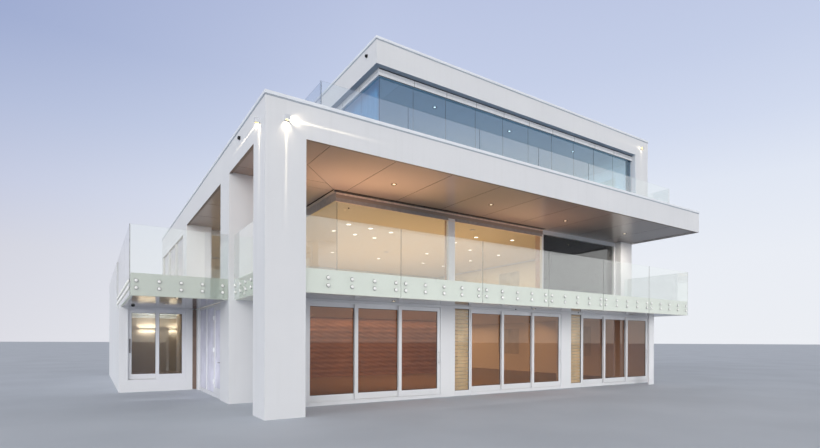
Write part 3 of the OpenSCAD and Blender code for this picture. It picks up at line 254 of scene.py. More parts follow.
runs, given, out = group("rain_runs", {"Colour": white, "Dirt": black, "Amount": 0.3},
    {"Colour": "Color"})
run = stretch(runs, noise(runs, scaled(runs, (5.0, 5.0, 0.22)), 1.6, 5.0, 0.6), 0.52, 0.78)
height = put(runs, "SeparateXYZ", {"Vector": on_surface(runs)}).outputs["Z"]
mask = math_of(runs, "MAXIMUM", run, stretch(runs, height, 0.35, 0.0))
mask = math_of(runs, "MULTIPLY", mask, given["Amount"])
runs.links.new(between(runs, mask, given["Colour"], given["Dirt"]), out["Colour"])

within, given, out = group("within_a_box", {"Low": (0, 0, 0), "High": (1, 1, 1)}, {"Mask": "Float"})
where = on_surface(within)
above = put(within, "VectorMath", {0: where, 1: given["Low"]}, operation="SUBTRACT").outputs[0]
below = put(within, "VectorMath", {0: given["High"], 1: where}, operation="SUBTRACT").outputs[0]
nearer = put(within, "VectorMath", {0: above, 1: below}, operation="MINIMUM").outputs[0]
x, y, z = put(within, "SeparateXYZ", {"Vector": nearer}).outputs
least = math_of(within, "MINIMUM", math_of(within, "MINIMUM", x, y), z)
within.links.new(math_of(within, "GREATER_THAN", least, 0.0), out["Mask"])


def inside(tree, boxes):
    """A mask of what lies within some boxes, given by their house corners."""
    total = 0.0
    for low, high in boxes:
        mask = use(tree, within, {"Low": at(*low), "High": at(*high)})["Mask"]
        total = math_of(tree, "MAXIMUM", total, mask)
    return total


def looking(tree, up):
    """A mask of the faces that look up (1) or down (-1)."""
    face = put(tree, "NewGeometry").outputs["Normal"]
    tilt = put(tree, "SeparateXYZ", {"Vector": face}).outputs["Z"]
    return math_of(tree, "GREATER_THAN", math_of(tree, "MULTIPLY", tilt, up), 0.5)


def bump(shader, height, strength, distance):
    """A fine relief on a finish, from a height that changes over the surface."""
    tree = shader.id_data
    relief = put(tree, "Bump", {"Height": height, "Strength": strength, "Distance": distance})
    tree.links.new(relief.outputs["Normal"], shader.inputs["Normal"])


def dress(material, *names):
    """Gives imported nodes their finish."""
    for name in names:
        for place in nodes[name].material_slots:
            place.material = material


def coated(tree, colour, patch=0.8, grain=60.0, amount=0.7, fade=0.95, other=None):
    """One colour made uneven in patches with another, or with a faded one of its own."""
    return use(tree, uneven, {"Colour": linear(*colour), "Patch size": patch, "Grain": grain,
        "Other": linear(*other) if other else linear(*colour, fade), "Amount": amount})


def weathered(tree, colour, dirt, amount):
    """A colour with faint runs of dirt."""
    return use(tree, runs, {"Colour": colour, "Dirt": linear(*dirt), "Amount": amount})["Colour"]


def wall_paint(name, rooms=(), under=None):
    """White painted render, with room paint within some boxes and a darker colour on undersides as
    painted shade.
    """
    material, tree, shader = finish(name, (0.885, 0.89, 0.90), 0.62)
    coat = coated(tree, (0.885, 0.888, 0.90), 1.6, 90.0, 0.8, other=(0.86, 0.865, 0.88))
    colour = weathered(tree, coat["Colour"], (0.70, 0.70, 0.69), 0.07)
    for low, high, paint in rooms:
        colour = between(tree, inside(tree, [(low, high)]), colour, linear(*paint))
    # Painted shade: faces that look down take the darker under colour.
    if under:
        colour = between(tree, looking(tree, -1.0), colour, linear(*under))
    coloured(shader, colour)
    bump(shader, coat["Height"], 0.25, 0.002)
    return material


ground_ceiling, middle_ceiling, top_ceiling = 2.5, 5.6, 8.7
bedroom_tan = (0.62, 0.54, 0.44)
rooms = [((0.2, 3.0, 0.05), (15.585, 15.945, middle_ceiling), (0.90, 0.865, 0.80)),
    ((3.75, 2.2, 6.1), (15.33, 11.62, top_ceiling + 0.01), (0.86, 0.86, 0.86)),
    ((-1.905, 7.385, 0.3), (0.005, 15.945, ground_ceiling + 0.01), bedroom_tan)]
dress(wall_paint("painted_render"), "corner_column", "side_piers", "front_pilasters")
dress(wall_paint("painted_render_and_rooms", rooms), "return_walls", "side_wall", "wing_front_wall",
    "wing_left_wall", "rear_wall", "right_wall", "right_pier", "top_walls", "top_pier")
# The bands' undersides are painted taupe grey as painted shade.
dress(wall_paint("painted_band", under=(0.48, 0.45, 0.43)), "front_band", "side_bands", "rear_band")
# The fascia's underside is painted blue grey as painted shade.
dress(wall_paint("painted_fascia", under=(0.62, 0.67, 0.73)), "top_fascia")
dress(wall_paint("painted_rooms", [((-0.1, 7.3, 0.0), (15.9, 16.0, 2.6), (0.88, 0.83, 0.76)),
    ((-1.95, 7.3, 0.0), (0.005, 16.0, 2.6), bedroom_tan)]), "inner_walls")


# SLABS AND FLOORS: concrete slabs, with stone tiles outdoors and in the rooms, boards in the wing
# and painted plaster below. The side of a slab is creamy white, and sheets cover the top roof.
def joint_grid(name, stagger):
    """A node group that draws tiles or boards with joints between them, over X and Y."""
    box, given, out = group(name, {"Colour": white, "Other": white, "Joint": black, "Length": 0.6,
        "Width": 0.6, "Gap": 0.004}, {"Colour": "Color", "Mask": "Float"})
    laid = put(box, "TexBrick", {"Vector": on_surface(box), "Color1": given["Colour"],
        "Color2": given["Other"], "Mortar": given["Joint"], "Scale": 1.0, "Mortar Size": given["Gap"],
        "Mortar Smooth": 0.0, "Brick Width": given["Length"], "Row Height": given["Width"]},
        offset=stagger).outputs
    box.links.new(laid["Color"], out["Colour"])
    box.links.new(laid["Fac"], out["Mask"])
    return box


tiles = joint_grid("square_tiles", 0.0)
boards = joint_grid("staggered_boards", 0.5)
edge_cream = (0.90, 0.90, 0.865)


def tiled(tree, colour, size, gap=0.004, laid=tiles, shade=0.62):
    """Tiles or boards of that size in a colour, a little unlike each other, with darker joints."""
    return use(tree, laid, {"Colour": linear(*colour), "Other": linear(*colour, 0.95),
        "Joint": linear(*colour, shade), "Length": size[0], "Width": size[1], "Gap": gap})


def slab_finish(name, roughness, tops, under, seen_under=None, edge=edge_cream):
    """A slab's material: tops are (colour, size, tiling, box) laid over each other, under is its
    ceiling, and seen_under are the boxes above a soffit where its underside is painted near black,
    as painted shade seen through the soffit's joints."""
    material, tree, shader = finish(name, edge, roughness)
    side = coated(tree, edge)
    top = None
    for colour, size, laid, box in tops:
        paving = tiled(tree, colour, size, laid=laid)["Colour"]
        top = paving if top is None else between(tree, inside(tree, [box]), top, paving)
    below = linear(*under)
    # Painted shade: above the soffits the underside is near black, for the dark seen through the
    # joints.
    if seen_under:
        below = between(tree, inside(tree, seen_under), linear(0.07, 0.065, 0.06), below)
    colour = between(tree, looking(tree, 1.0), side["Colour"], top)
    colour = between(tree, looking(tree, -1.0), colour, below)
    coloured(shader, colour)
    bump(shader, side["Height"], 0.15, 0.001)
    return material


outdoor_stone = ((0.70, 0.70, 0.705), (0.6, 0.6), tiles, None)
room_stone = ((0.74, 0.67, 0.58), (0.9, 0.9), tiles)
dress(slab_finish("ground_slab", 0.35, [((0.50, 0.43, 0.37), (0.6, 0.6), tiles, None),
    ((0.56, 0.40, 0.27), (1.8, 0.14), boards, ((-2.1, 7.2, 0.0), (0.0, 16.2, 0.4)))],
    (0.6, 0.6, 0.6)), "ground_floor")
dress(slab_finish("middle_slab", 0.4, [outdoor_stone,
    (*room_stone, ((2.8, 2.93, 2.9), (16, 16, 3.1))),
    (*room_stone, ((0.0, 9.85, 2.9), (16, 16, 3.1)))], (0.84, 0.78, 0.70)), "mid_floor")
# The underside above the soffits is painted near black as painted shade.
dress(slab_finish("roof_slab", 0.55, [outdoor_stone], (0.90, 0.845, 0.755),
    [((2.8, 2.93, 5.5), (15.6, 16, 5.7)), ((0.0, 9.85, 5.5), (15.6, 16, 5.7))]), "roof_deck")
dress(slab_finish("balcony_slab_paint", 0.5, [outdoor_stone], edge_cream), "balcony_slab")
dress(slab_finish("terrace_slab_paint", 0.5, [outdoor_stone], edge_cream,
    edge=(0.76, 0.77, 0.735)), "terrace_slab")

membrane, tree, shader = finish("roof_membrane", (0.66, 0.665, 0.67), 0.7)
sheetwork = tiled(tree, (0.68, 0.685, 0.69), (6.0, 1.05), gap=0.012, laid=boards)
plaster = tiled(tree, (0.80, 0.81, 0.815), (2.4, 1.57), gap=0.01, shade=0.85)
colour = between(tree, looking(tree, 1.0), linear(*edge_cream), sheetwork["Colour"])
coloured(shader, between(tree, looking(tree, -1.0), colour, plaster["Colour"]))
bump(shader, math_of(tree, "MULTIPLY", sheetwork["Mask"], -1.0), 0.4, 0.004)
dress(membrane, "top_roof")


# SOFFITS: glossy composite panels on battens, with open joints between them, a slot along the glass
# where the outside blinds run up, and paler strips beside it. The faces along the slot and the
# panels' faces that do not look down are painted near black, as painted shade of the slot and joints.
soffit, tree, shader = finish("roof_soffit_panel", (0.45, 0.43, 0.415), 0.3, coat=0.35,
    coat_roughness=0.15)
panel = coated(tree, (0.53, 0.485, 0.465), 2.2, 260.0, 0.6)
strip = coated(tree, (0.66, 0.62, 0.585), 2.2, 260.0, 0.5)
bay_left, bay_right = 2.79, 10.86
strips = inside(tree, [((bay_right, 2.775, 5.5), (15.2, 2.93, 5.7)),
    ((2.675, 2.81, 5.5), (2.8, 9.9, 5.7))])
# Painted shade: the soffit's faces along the blind slot are near black, for the dark of the deep slot.
slot_shade_mask = inside(tree, [((2.7, 2.75, 5.5), (bay_right, 2.93, 5.7))])
faces = between(tree, strips, panel["Colour"], strip["Colour"])
faces = between(tree, slot_shade_mask, faces, linear(0.04, 0.028, 0.024))
# Painted shade: faces that do not look down, such as the panels' sides in the joints, are near black.
coloured(shader, between(tree, looking(tree, -1.0), linear(0.06, 0.05, 0.045), faces))
bump(shader, panel["Height"], 0.06, 0.0005)
dress(soffit, "roof_soffit")


def plain(name, colour, roughness, metallic=0.0, patch=0.1, grain=400.0, amount=0.8,
          fade=0.8, other=None, relief=(0.1, 0.0005), coat=0.0):
    """A finish in one colour with a little unevenness; relief is its strength and its depth."""
    material, tree, shader = finish(name, colour, roughness, metallic, coat)
    worn = coated(tree, colour, patch, grain, amount, fade, other)
    coloured(shader, worn["Colour"])
    bump(shader, worn["Height"], *relief)
    return material


dress(plain("low_soffit_panel", (0.41, 0.41, 0.43), 0.25, patch=2.2, grain=260.0, amount=0.6,
    fade=0.95, relief=(0.03, 0.0003), coat=1.0), "lower_soffit")


# METAL CAPS: folded aluminium over the parapets, powder coated, in lengths joined by lap straps,
# with a grey strip below the drip edge as painted shade of the drip. The same metal makes the shoe
# of the roof glass.
cap_metal, tree, shader = finish("cap_coating", (0.93, 0.945, 0.97), 0.38)
coat = coated(tree, (0.93, 0.945, 0.97), 0.9, 300.0, 0.8)
coloured(shader, weathered(tree, coat["Colour"], (0.72, 0.73, 0.75), 0.12))
bump(shader, coat["Height"], 0.08, 0.0005)
dress(cap_metal, "band_cap", "top_cap", "roof_shoe")


def block(mesh, low, high, ease=0.0, index=0):
    """A box from corner to corner, with its edges eased when ease is given."""
    new = bmesh.ops.create_cube(mesh, size=1.0,
        matrix=Matrix.Translation((low + high) / 2) @ Matrix.Diagonal((*(high - low), 1)))
    faces = list({f for v in new["verts"] for f in v.link_faces})
    if ease:
        edges = list({e for f in faces for e in f.edges})
        eased = bmesh.ops.bevel(mesh, geom=edges, offset=ease, segments=1, affect="EDGES")
        faces = list({f for v in eased["verts"] for f in v.link_faces})
    for face in faces:
        face.material_index = index


def boxed(name, materials, *boxes):
    """A piece of boxes, each with its low and high house corner, its ease and its material."""
    mesh = bmesh.new()
    for low, high, *more in boxes:
        block(mesh, at(*low), at(*high), *more)
    return made(name, mesh, materials)


# Painted shade: a grey strip that stands for the shadow below each cap's drip edge.
drip_shade_grey, tree, shader = finish("shadow_gap", (0.62, 0.65, 0.70), 0.7)
coloured(shader, coated(tree, (0.68, 0.71, 0.75), 0.5, 120.0, 0.8)["Colour"])
strap_pitch, strap_half, strap_thick = 3.0, 0.04, 0.0015
shade_drop, shade_proud = 0.028, Vector((0.006, 0.006, 0))


def cap_trim(drip_shades, straps, wall_low, wall_high, cap_node, wide):
    """A grey strip of painted shade below one ring of caps, and lap straps over it at about their
    pitch.
    """
    low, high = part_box(cap_node)
    a, b = at(*wall_low, 0), at(*wall_high, 0)
    for start, end in (((a.x, a.y), (b.x, a.y)), ((a.x, b.y), (b.x, b.y)),
                       ((a.x, a.y), (a.x, b.y)), ((b.x, a.y), (b.x, b.y))):
        block(drip_shades, Vector((*start, low.z - shade_drop)) - shade_proud, Vector((*end, low.z)) + shade_proud)
    for along, across in ((0, 1), (1, 0)):
        for side in (-1, 1):
            count = round((high[along] - low[along]) / strap_pitch)
            for i in range(1, count):
                middle = low[along] + (high[along] - low[along]) * i / count
                edge = low[across] if side < 0 else high[across]
                lo, hi = Vector((0, 0, low.z - 0.001)), Vector((0, 0, high.z + strap_thick))
                lo[along], hi[along] = middle - strap_half, middle + strap_half
                lo[across], hi[across] = sorted((edge + side * strap_thick, edge - side * wide))
                block(straps, lo, hi, 0.0006)


drip_shades, straps = bmesh.new(), bmesh.new()
cap_trim(drip_shades, straps, (0, 0), (15.83, 16.19), "band_cap", 0.31)
cap_trim(drip_shades, straps, (3.39, 1.79), (15.52, 11.8), "top_cap", 0.17)
made("cap_shadow_gaps", drip_shades, [drip_shade_grey])
made("cap_lap_straps", straps, [cap_metal])


# OVERFLOWS AND PIER FACING: black plastic spouts through the bands, each with a flange on the
# render, where rain runs out if an outlet blocks, and two domed outlets on the top roof. A thin
# rendered board with two joints faces the top pier.
def turned(mesh, centre, axis, profile, sides=20):
    """A lathe-turned part along an axis; the profile is (radius, distance), or with a material too."""
    turn = axis.to_track_quat("Z", "Y").to_matrix()
    rows = []
    for radius, distance, *_ in profile:
        angles = [2 * math.pi * k / sides for k in range(sides if radius else 1)]
        rows.append([mesh.verts.new(centre + turn @ Vector((
            radius * math.cos(angle), radius * math.sin(angle), distance))) for angle in angles])
    for (_, _, *material), first, second in zip(profile, rows, rows[1:]):
        for k in range(sides):
            after = (k + 1) % sides
            corners = [first[k % len(first)], first[after % len(first)],
                second[after % len(second)], second[k % len(second)]]
            face = mesh.faces.new(list(dict.fromkeys(corners)))
            face.material_index = material[0] if material else 0


black_pipe = plain("black_pipe", (0.06, 0.06, 0.065), 0.5)
LEFT, DOWN, UP = Vector((-1, 0, 0)), Vector((0, 0, -1)), Vector((0, 0, 1))
pipes = bmesh.new()
for x, y, z in ((0.0, 1.9, 6.02), (3.39, 2.31, 9.12)):
    turned(pipes, at(x, y, z), LEFT, [(0.048, 0.0), (0.048, 0.004), (0.040, 0.006),
        (0.040, 0.045), (0.034, 0.046), (0.033, -0.1), (0, -0.1)], sides=28)
made("overflow_pipes", pipes, [black_pipe])
boxed("top_pier_facing", [nodes["top_pier"].material_slots[0].material],
    ((14.711, 1.791, 6.125), (15.519, 1.852, 8.702), 0.004),
    *(((14.711, 1.7895, z), (15.519, 1.792, z + 0.0015)) for z in (6.9, 7.7)))
outlets = bmesh.new()
for x in (5.4, 13.4):
    turned(outlets, at(x, 10.6, 9.0), UP, [(0.17, 0.0), (0.17, 0.006), (0.12, 0.012),
        (0.11, 0.03), (0.085, 0.075), (0.04, 0.095), (0, 0.10)], sides=28)
made("roof_outlets", outlets, [black_pipe])


# ALUMINIUM FRAMES: extruded frames and sliding leaves, powder coated white. The wing door's
# handle is dark bronze, and a taupe cover hides the head over the two left bays above. Fine
# joints part the cover of the top storey's track, and a channel ends its row of panes.
aluminium, tree, shader = finish("white_powder_coat", (0.88, 0.885, 0.90), 0.34, coat=0.25)
coat = coated(tree, (0.885, 0.89, 0.905), 0.7, 420.0, 0.7)
colour = weathered(tree, coat["Colour"], (0.66, 0.66, 0.66), 0.08)
wing_handle = [((-1.83, 7.24, 1.1), (-1.79, 7.3018, 1.6))]
lever = [((-0.03, 3.89, 0.91), (0.0385, 4.09, 0.99))]
heads = [((2.7, 2.9, 5.38), (bay_right, 3.1, 5.61)), ((2.7, 2.9, 5.38), (2.9, 10.0, 5.61))]
for boxes, paint in ((wing_handle, (0.20, 0.17, 0.155)), (lever, (0.40, 0.40, 0.42)),
                     (heads, (0.62, 0.55, 0.51))):
    colour = between(tree, inside(tree, boxes), colour, linear(*paint))
coloured(shader, colour)
bump(shader, coat["Height"], 0.05, 0.0004)
doors = [f"{place}_{leaf}" for place in ("left", "centre", "right") for leaf in ("middle", "lead")]
dress(aluminium, "door_frames", "fixed_leaves", "end_post", "mid_frames", "top_frames", "side_door",
    "wing_leaf", *(name + "_leaf" for name in doors))

frame_face = 2.936
boxed("head_cover", [plain("cover_grey", (0.66, 0.635, 0.625), 0.45),
    plain("cover_bead", (0.97, 0.88, 0.81), 0.4)],
    ((bay_left, 2.918, 5.505), (bay_right, frame_face, 5.556), 0.001, 1),
    ((bay_left, 2.928, 5.312), (bay_right, frame_face, 5.505), 0.001),
    ((bay_left, 2.923, 5.30), (bay_right, frame_face, 5.312), 0.001, 1),
    ((2.784, frame_face, 5.33), (bay_left, 9.82, 5.556), 0.001))
track_lines = bmesh.new()
track_low, track_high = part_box("top_frames")
pane_wide, joint_wide, joint_foot, joint_head = 1.116, 0.008, 8.512, 8.67
for i in range(1, 10):
    x = house_corner.x + 3.55 + pane_wide * i
    block(track_lines, Vector((x, track_low.y - 0.002, joint_foot)),
        Vector((x + joint_wide, track_low.y + 0.01, joint_head)))
for foot, head in ((8.672, 8.699), (8.495, 8.511)):
    block(track_lines, Vector((track_low.x + 0.002, track_low.y - 0.003, foot)),
        Vector((track_high.x, track_low.y + 0.012, head)))
for i in range(1, 4):
    y = track_low.y + pane_wide * i
    block(track_lines, Vector((track_low.x - 0.002, y, joint_foot)),
        Vector((track_low.x + 0.01, y + joint_wide, joint_head)))
made("top_track_joints", track_lines, [plain("joint_grey", (0.30, 0.32, 0.33), 0.6)])
boxed("top_end_channel", [plain("channel_grey", (0.36, 0.40, 0.39), 0.45)],
    ((14.54, 2.03, 6.18), (14.70, 2.09, 8.5), 0.002), ((14.56, 2.09, 6.18), (14.68, 2.12, 8.5), 0.002))


# GLASS: toughened panes in black rubber. The doors' glass is bronze, the upper storeys' is blue
# grey, and the balustrades' is clear. Lamps and soft light shine through without a shadow.
ripple, given, out = group("float_glass_ripple", {"Wave": 0.7}, {"Height": "Float"})
ripple.links.new(noise(ripple, on_surface(ripple), given["Wave"], 1.0), out["Height"])


def glass(name, tint, density, wave, strength, untinted=()):
    """A pane's material: clear through, and open to the lamps' shadow rays."""
    material, tree, shader = finish(name, tint, 0.0)
    shader.inputs["Transmission Weight"].default_value = 1.0
    shader.inputs["IOR"].default_value = density
    bump(shader, use(tree, ripple, {"Wave": wave})["Height"], strength, 0.01)
    clear = put(tree, "BsdfTransparent", {"Color": linear(*tint)})
    if untinted:
        pale = between(tree, inside(tree, untinted), linear(*tint), linear(0.95, 0.97, 0.96))
        coloured(shader, pale)
        tree.links.new(pale, clear.inputs["Color"])
    path = put(tree, "LightPath").outputs
    lamplit = mixed(tree, path["Is Shadow Ray"], shader, clear)
    both = mixed(tree, path["Is Diffuse Ray"], lamplit, clear)
    tree.links.new(both.outputs[0], tree.nodes["Material Output"].inputs["Surface"])
    return material


clear_panes = [((0.0, 3.8, 0.0), (0.2, 7.0, 2.6)), ((-1.2, 7.2, 0.0), (-0.3, 7.3, 2.6)),
    ((5.7, 1.47, 0.0), (6.3, 1.53, 2.6)), ((10.59, 1.47, 0.0), (11.2, 1.53, 2.6))]
dress(glass("bronze_glass", (0.84, 0.75, 0.70), 1.62, 0.8, 0.02, clear_panes),
    "fixed_glass", *(name + "_glass" for name in doors))
dress(glass("window_glass", (0.95, 0.96, 0.95), 1.75, 0.7, 0.015),
    "mid_glass", "window_glass", "side_door_glass", "wing_leaf_glass")
dress(glass("blue_grey_glass", (0.72, 0.87, 0.95), 2.1, 0.6, 0.05), "top_glass")
dress(glass("balustrade_glass", (0.97, 0.985, 0.98), 2.2, 0.5, 0.03),
    "balcony_glass", "terrace_glass", "roof_glass")


def solids(node):
    """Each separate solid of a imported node, as its lowest and highest corner."""
    touching = 0.00001
    mesh = bmesh.new()
    mesh.from_mesh(nodes[node].data)
    bmesh.ops.remove_doubles(mesh, verts=mesh.verts, dist=touching)
    mesh.verts.ensure_lookup_table()
    found, visited = [], set()
    for start in mesh.verts:
        if start in visited:
            continue
        visited.add(start)
        solid = [start]
        for vertex in solid:
            others = {edge.other_vert(vertex) for edge in vertex.link_edges} - visited
            visited |= others
            solid.extend(others)
        low, high = (Vector([pick(v.co[k] for v in solid) for k in range(3)]) for pick in (min, max))
        found.append((low, high))
    mesh.free()
    return found


def ways_of(low, high):
    """The axis across a pane, X where it faces left and right or else Y, and the one along it."""
    across = 0 if high.x - low.x < 0.1 else 1
    return across, 1 - across


def around_pane(mesh, low, high, out_from, out_to, from_edge, to_edge, index=0):
    """Four strips along the edges of a pane, over a depth across it and a width inward."""
    across, along = ways_of(low, high)
    for axis, other, inset in ((2, along, 0.0), (along, 2, to_edge - from_edge)):
        for first, last in ((low[other] + from_edge, low[other] + to_edge),
                            (high[other] - to_edge, high[other] - from_edge)):
            a, b = low.copy(), high.copy()
            a[across], b[across] = out_from, out_to
            a[other], b[other] = first, last
            a[axis] += from_edge + inset
            b[axis] -= from_edge + inset
            block(mesh, a, b, 0.0, index)


rubber = plain("black_rubber", (0.09, 0.09, 0.10), 0.65)
pale_rubber = plain("pale_rubber", (0.78, 0.78, 0.82), 0.6)
gasket_depth, gasket_sight, groove = 0.005, 0.008, 0.0115
panes = {"fixed_glass": "house", "side_door_glass": "side_door", "wing_leaf_glass": "wing_door"}
panes.update({name + "_glass": name + "_door" for name in doors})
for node, body in panes.items():
    strips = bmesh.new()
    for low, high in solids(node):
        across, along = ways_of(low, high)
        index = int(across == 0 or node == "side_door_glass")
        rebate = 0.0 if node == "fixed_glass" and across == 0 else groove
        for near, far in ((low[across] - gasket_depth, low[across]),
                          (high[across], high[across] + gasket_depth)):
            around_pane(strips, low, high, near, far, 0.001, rebate + gasket_sight, index)
    made(node + "_gaskets", strips, [rubber, pale_rubber], body=body)


# BALUSTRADE FIXINGS: turned stainless buttons, two rows to a pane, each a domed head on a rubber
# washer, with a barrel through to the slab. The steel is painted near white as painted sheen, and the
# washer is wider than the head, so that its dark rim is painted shade round the button.
# Painted sheen: near white and barely metallic, so the buttons look bright all over like polished
# steel.
steel = plain("polished_steel", (0.995, 0.99, 0.98), 0.25, metallic=0.12, patch=0.05,
    grain=900.0, amount=0.6, other=(0.95, 0.945, 0.94), relief=(0.04, 0.0002))
buttons = bmesh.new()
least_head, head_share, head_proud, washer_shade_share, washer_thick = 0.03, 1.1, 0.02, 1.15, 0.002
for low, high in solids("glass_fixings"):
    size = high - low
    across = min(range(3), key=lambda k: size[k])
    radius = max(size) / 2
    thick = size[across]
    axis = Vector((0, 0, 0))
    axis[across] = -1.0
    foot = (low + high) / 2 - axis * thick / 2
    if radius > least_head:
        radius, thick = radius * head_share, thick + head_proud
        # The washer is real, but is wider than the head so that its dark rim is painted shade round
        # the button.
        turned(buttons, foot, axis, [(0, 0, 1), (radius * washer_shade_share, 0, 1),
            (radius * washer_shade_share, washer_thick, 1), (radius, washer_thick), (radius, thick * 0.3),
            (radius * 0.94, thick * 0.55), (radius * 0.78, thick * 0.79),
            (radius * 0.45, thick * 0.95), (0, thick)])
    else:
        turned(buttons, foot, axis, [(0, 0), (radius * 0.96, 0), (radius, 0.002),
            (radius, thick - 0.002), (radius * 0.96, thick), (0, thick)], sides=16)
fixings = made("balustrade_buttons", buttons, [steel, rubber])
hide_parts("glass_fixings")


# DOWNLIGHTS: a thin ring, a black baffle and a warm lens that glows, pushed up into the soffits
# and the ceilings. Small black sensors and two vents stand between them.
def glowing(name, colour, strength):
    """A lens that glows a little unevenly."""
    material, tree, shader = finish(name, colour, 0.4)
    coat = coated(tree, colour, 0.03, 500.0, 0.7, fade=0.93)
    coloured(shader, coat["Colour"])
    tree.links.new(coat["Colour"], shader.inputs["Emission Color"])
    shader.inputs["Emission Strength"].default_value = strength
    return material


warm_lens = glowing("warm_lens", (1.0, 0.92, 0.78), 4.0)
white_lens = glowing("white_lens", (1.0, 0.98, 0.95), 3.0)
dim_lens = glowing("dim_lens", (1.0, 0.93, 0.82), 1.8)
dark_ring = plain("bronze_ring", (0.22, 0.19, 0.17), 0.3, metallic=0.7, patch=0.02)


def downlights(name, ceiling, places, radius, lens_share, ring_finish, lens):
    """Downlights at places under a ceiling, with a lens of that share of their radius."""
    mesh = bmesh.new()
    bright = radius * lens_share
    for x, y in places:
        turned(mesh, at(x, y, ceiling), DOWN, [(radius, 0), (radius, 0.003), (radius * 0.97, 0.006),
            (bright + (radius - bright) * 0.6, 0.005), (bright + (radius - bright) * 0.4, 0.0025, 1),
            (bright, 0.0015, 2), (bright * 0.6, 0.004, 2), (0, 0.005)], sides=24)
    made(name, mesh, [ring_finish, rubber, lens])


downlights("roof_soffit_downlights", 5.56, ((3.77, 1.52), (7.12, 1.54), (10.50, 1.62), (13.88, 1.69)),
    0.08, 0.48, dark_ring, dim_lens)
downlights("low_soffit_downlights", ground_ceiling, ((3.43, 0.94), (8.3, 0.94), (13.17, 0.94),
    (-1.09, 5.17), (-1.1, 3.12)), 0.065, 0.45, dark_ring, warm_lens)
downlights("middle_ceiling_downlights", middle_ceiling, (
    (4.77, 6.26), (4.75, 7.46), (5.68, 7.6), (5.7, 6.38), (6.6, 7.73), (6.65, 6.53), (6.52, 11.55),
    (10.27, 9.37), (11.68, 11.75), (9.09, 11.83), (13.15, 11.98), (9.85, 5.4), (11.41, 5.02),
    (9.8, 6.69), (11.35, 7.58), (13.23, 9.78), (13.31, 7.85)), 0.09, 0.88, aluminium, white_lens)
downlights("ground_ceiling_downlights", ground_ceiling,
    [(x, y) for x in (4.1, 8.9, 13.7) for y in (4.6, 7.9)], 0.07, 0.6, aluminium, warm_lens)
downlights("top_ceiling_downlights", top_ceiling, ((6.05, 2.92), (9.18, 2.91), (12.47, 2.92)),
    0.075, 0.45, dark_ring, white_lens)

sensors = bmesh.new()
for x, y, z, radius in ((-1.79, 6.32, ground_ceiling, 0.05), (8.0, 1.4, ground_ceiling, 0.02),
                        (3.84, 4.33, middle_ceiling, 0.03), (10.9, 1.4, ground_ceiling, 0.02)):
    turned(sensors, at(x, y, z), DOWN, [(radius, 0), (radius, radius * 0.3),
        (radius * 0.86, radius * 0.6), (radius * 0.5, radius * 0.85), (0, radius * 0.95)])
made("motion_sensors", sensors, [black_pipe])
vents = bmesh.new()
for x, y in ((8.5, 10.09), (8.87, 4.46)):
    turned(vents, at(x, y, middle_ceiling), DOWN, [(0.11, 0), (0.11, 0.008), (0.095, 0.014),
        (0.085, 0.006, 1), (0.06, 0.006, 1), (0.055, 0.014), (0.03, 0.018), (0, 0.018)], sides=28)
made("ceiling_vents", vents, [aluminium, rubber])


# WALL LIGHTS: cast square boxes, powder coated, each with a frosted amber glass sunk in its
# underside and in one side or two. Behind each glass a lens throws a narrow streak on the wall.
dress(plain("wall_light_coating", (0.84, 0.85, 0.87), 0.4, grain=600.0, amount=0.7, fade=0.95,
    relief=(0.05, 0.0003)), "wall_lights")
RIGHT, BACK = Vector((1, 0, 0)), Vector((0, 1, 0))
near_left, near_front, near_top = sorted(solids("wall_lights"),
    key=lambda box: box[0].x + box[0].z * 100)[:3]
light_rim, light_sunk, light_back = Vector((0.0145,) * 3), 0.004, 0.012
light_glasses = bmesh.new()
for (low, high), open_ways in ((near_left, (DOWN, BACK)), (near_front, (DOWN, RIGHT)),
                               (near_top, (DOWN, RIGHT, LEFT))):
    middle = (low + high) / 2
    half = (high - low) / 2
    for way in open_ways:
        a = middle - half + light_rim
        b = middle + half - light_rim
        axis = max(range(3), key=lambda k: abs(way[k]))
        face = middle[axis] + way[axis] * half[axis]
        a[axis], b[axis] = sorted((face - way[axis] * light_sunk, face - way[axis] * light_back))
        block(light_glasses, a, b, 0.0008)
made("wall_light_glasses", light_glasses, [glowing("amber_lens", (1.0, 0.90, 0.62), 0.9)])


def streak(name, box, way, wall, power, glow=1.0):
    """A narrow beam from a wall light along its wall, two shorter ones, and a bloom beside it."""
    low, high = box
    start = (low + high) / 2 + way * 0.06
    for suffix, spread, tilt, share in (("far", 3.0, 2.4, 1.0), ("mid", 5.0, 5.0, 0.2),
                                        ("near", 16.0, 11.0, 0.05 * glow),
                                        ("bloom", 110.0, 30.0, 0.010 * glow)):
        target = start + way + wall * math.tan(math.radians(tilt))
        lamp(name + "_" + suffix, "SPOT", start, target, power * share, (1.0, 0.93, 0.80),
            spot_size=math.radians(spread), spot_blend=1.0, shadow_soft_size=0.015)


streak("front_light_down", near_front, DOWN, BACK, 440)
streak("front_light_right", near_front, RIGHT, BACK, 576)
streak("left_light_down", near_left, DOWN, RIGHT, 900, 0.6)
streak("left_light_back", near_left, BACK, RIGHT, 1300, 0.5)
streak("top_light_down", near_top, DOWN, BACK, 220, 0.3)
streak("top_light_left", near_top, LEFT, BACK, 288, 0.3)
streak("top_light_right", near_top, RIGHT, BACK, 60, 0.5)


# BLINDS: pale wooden slats in the two slots between the sets of doors, and a roller blind drawn down
# over the right bay of the middle storey, on a tube inside the head of the frame. The blind's
# near-black colour is painted shade of the unlit room behind it.
def skin(mesh, rows):
    """Faces between neighbouring rows of points, all of the same length."""
    rows = [[mesh.verts.new(point) for point in row] for row in rows]
    for first, second in zip(rows, rows[1:]):
        for k in range(len(first) - 1):
            mesh.faces.new((first[k], second[k], second[k + 1], first[k + 1]))


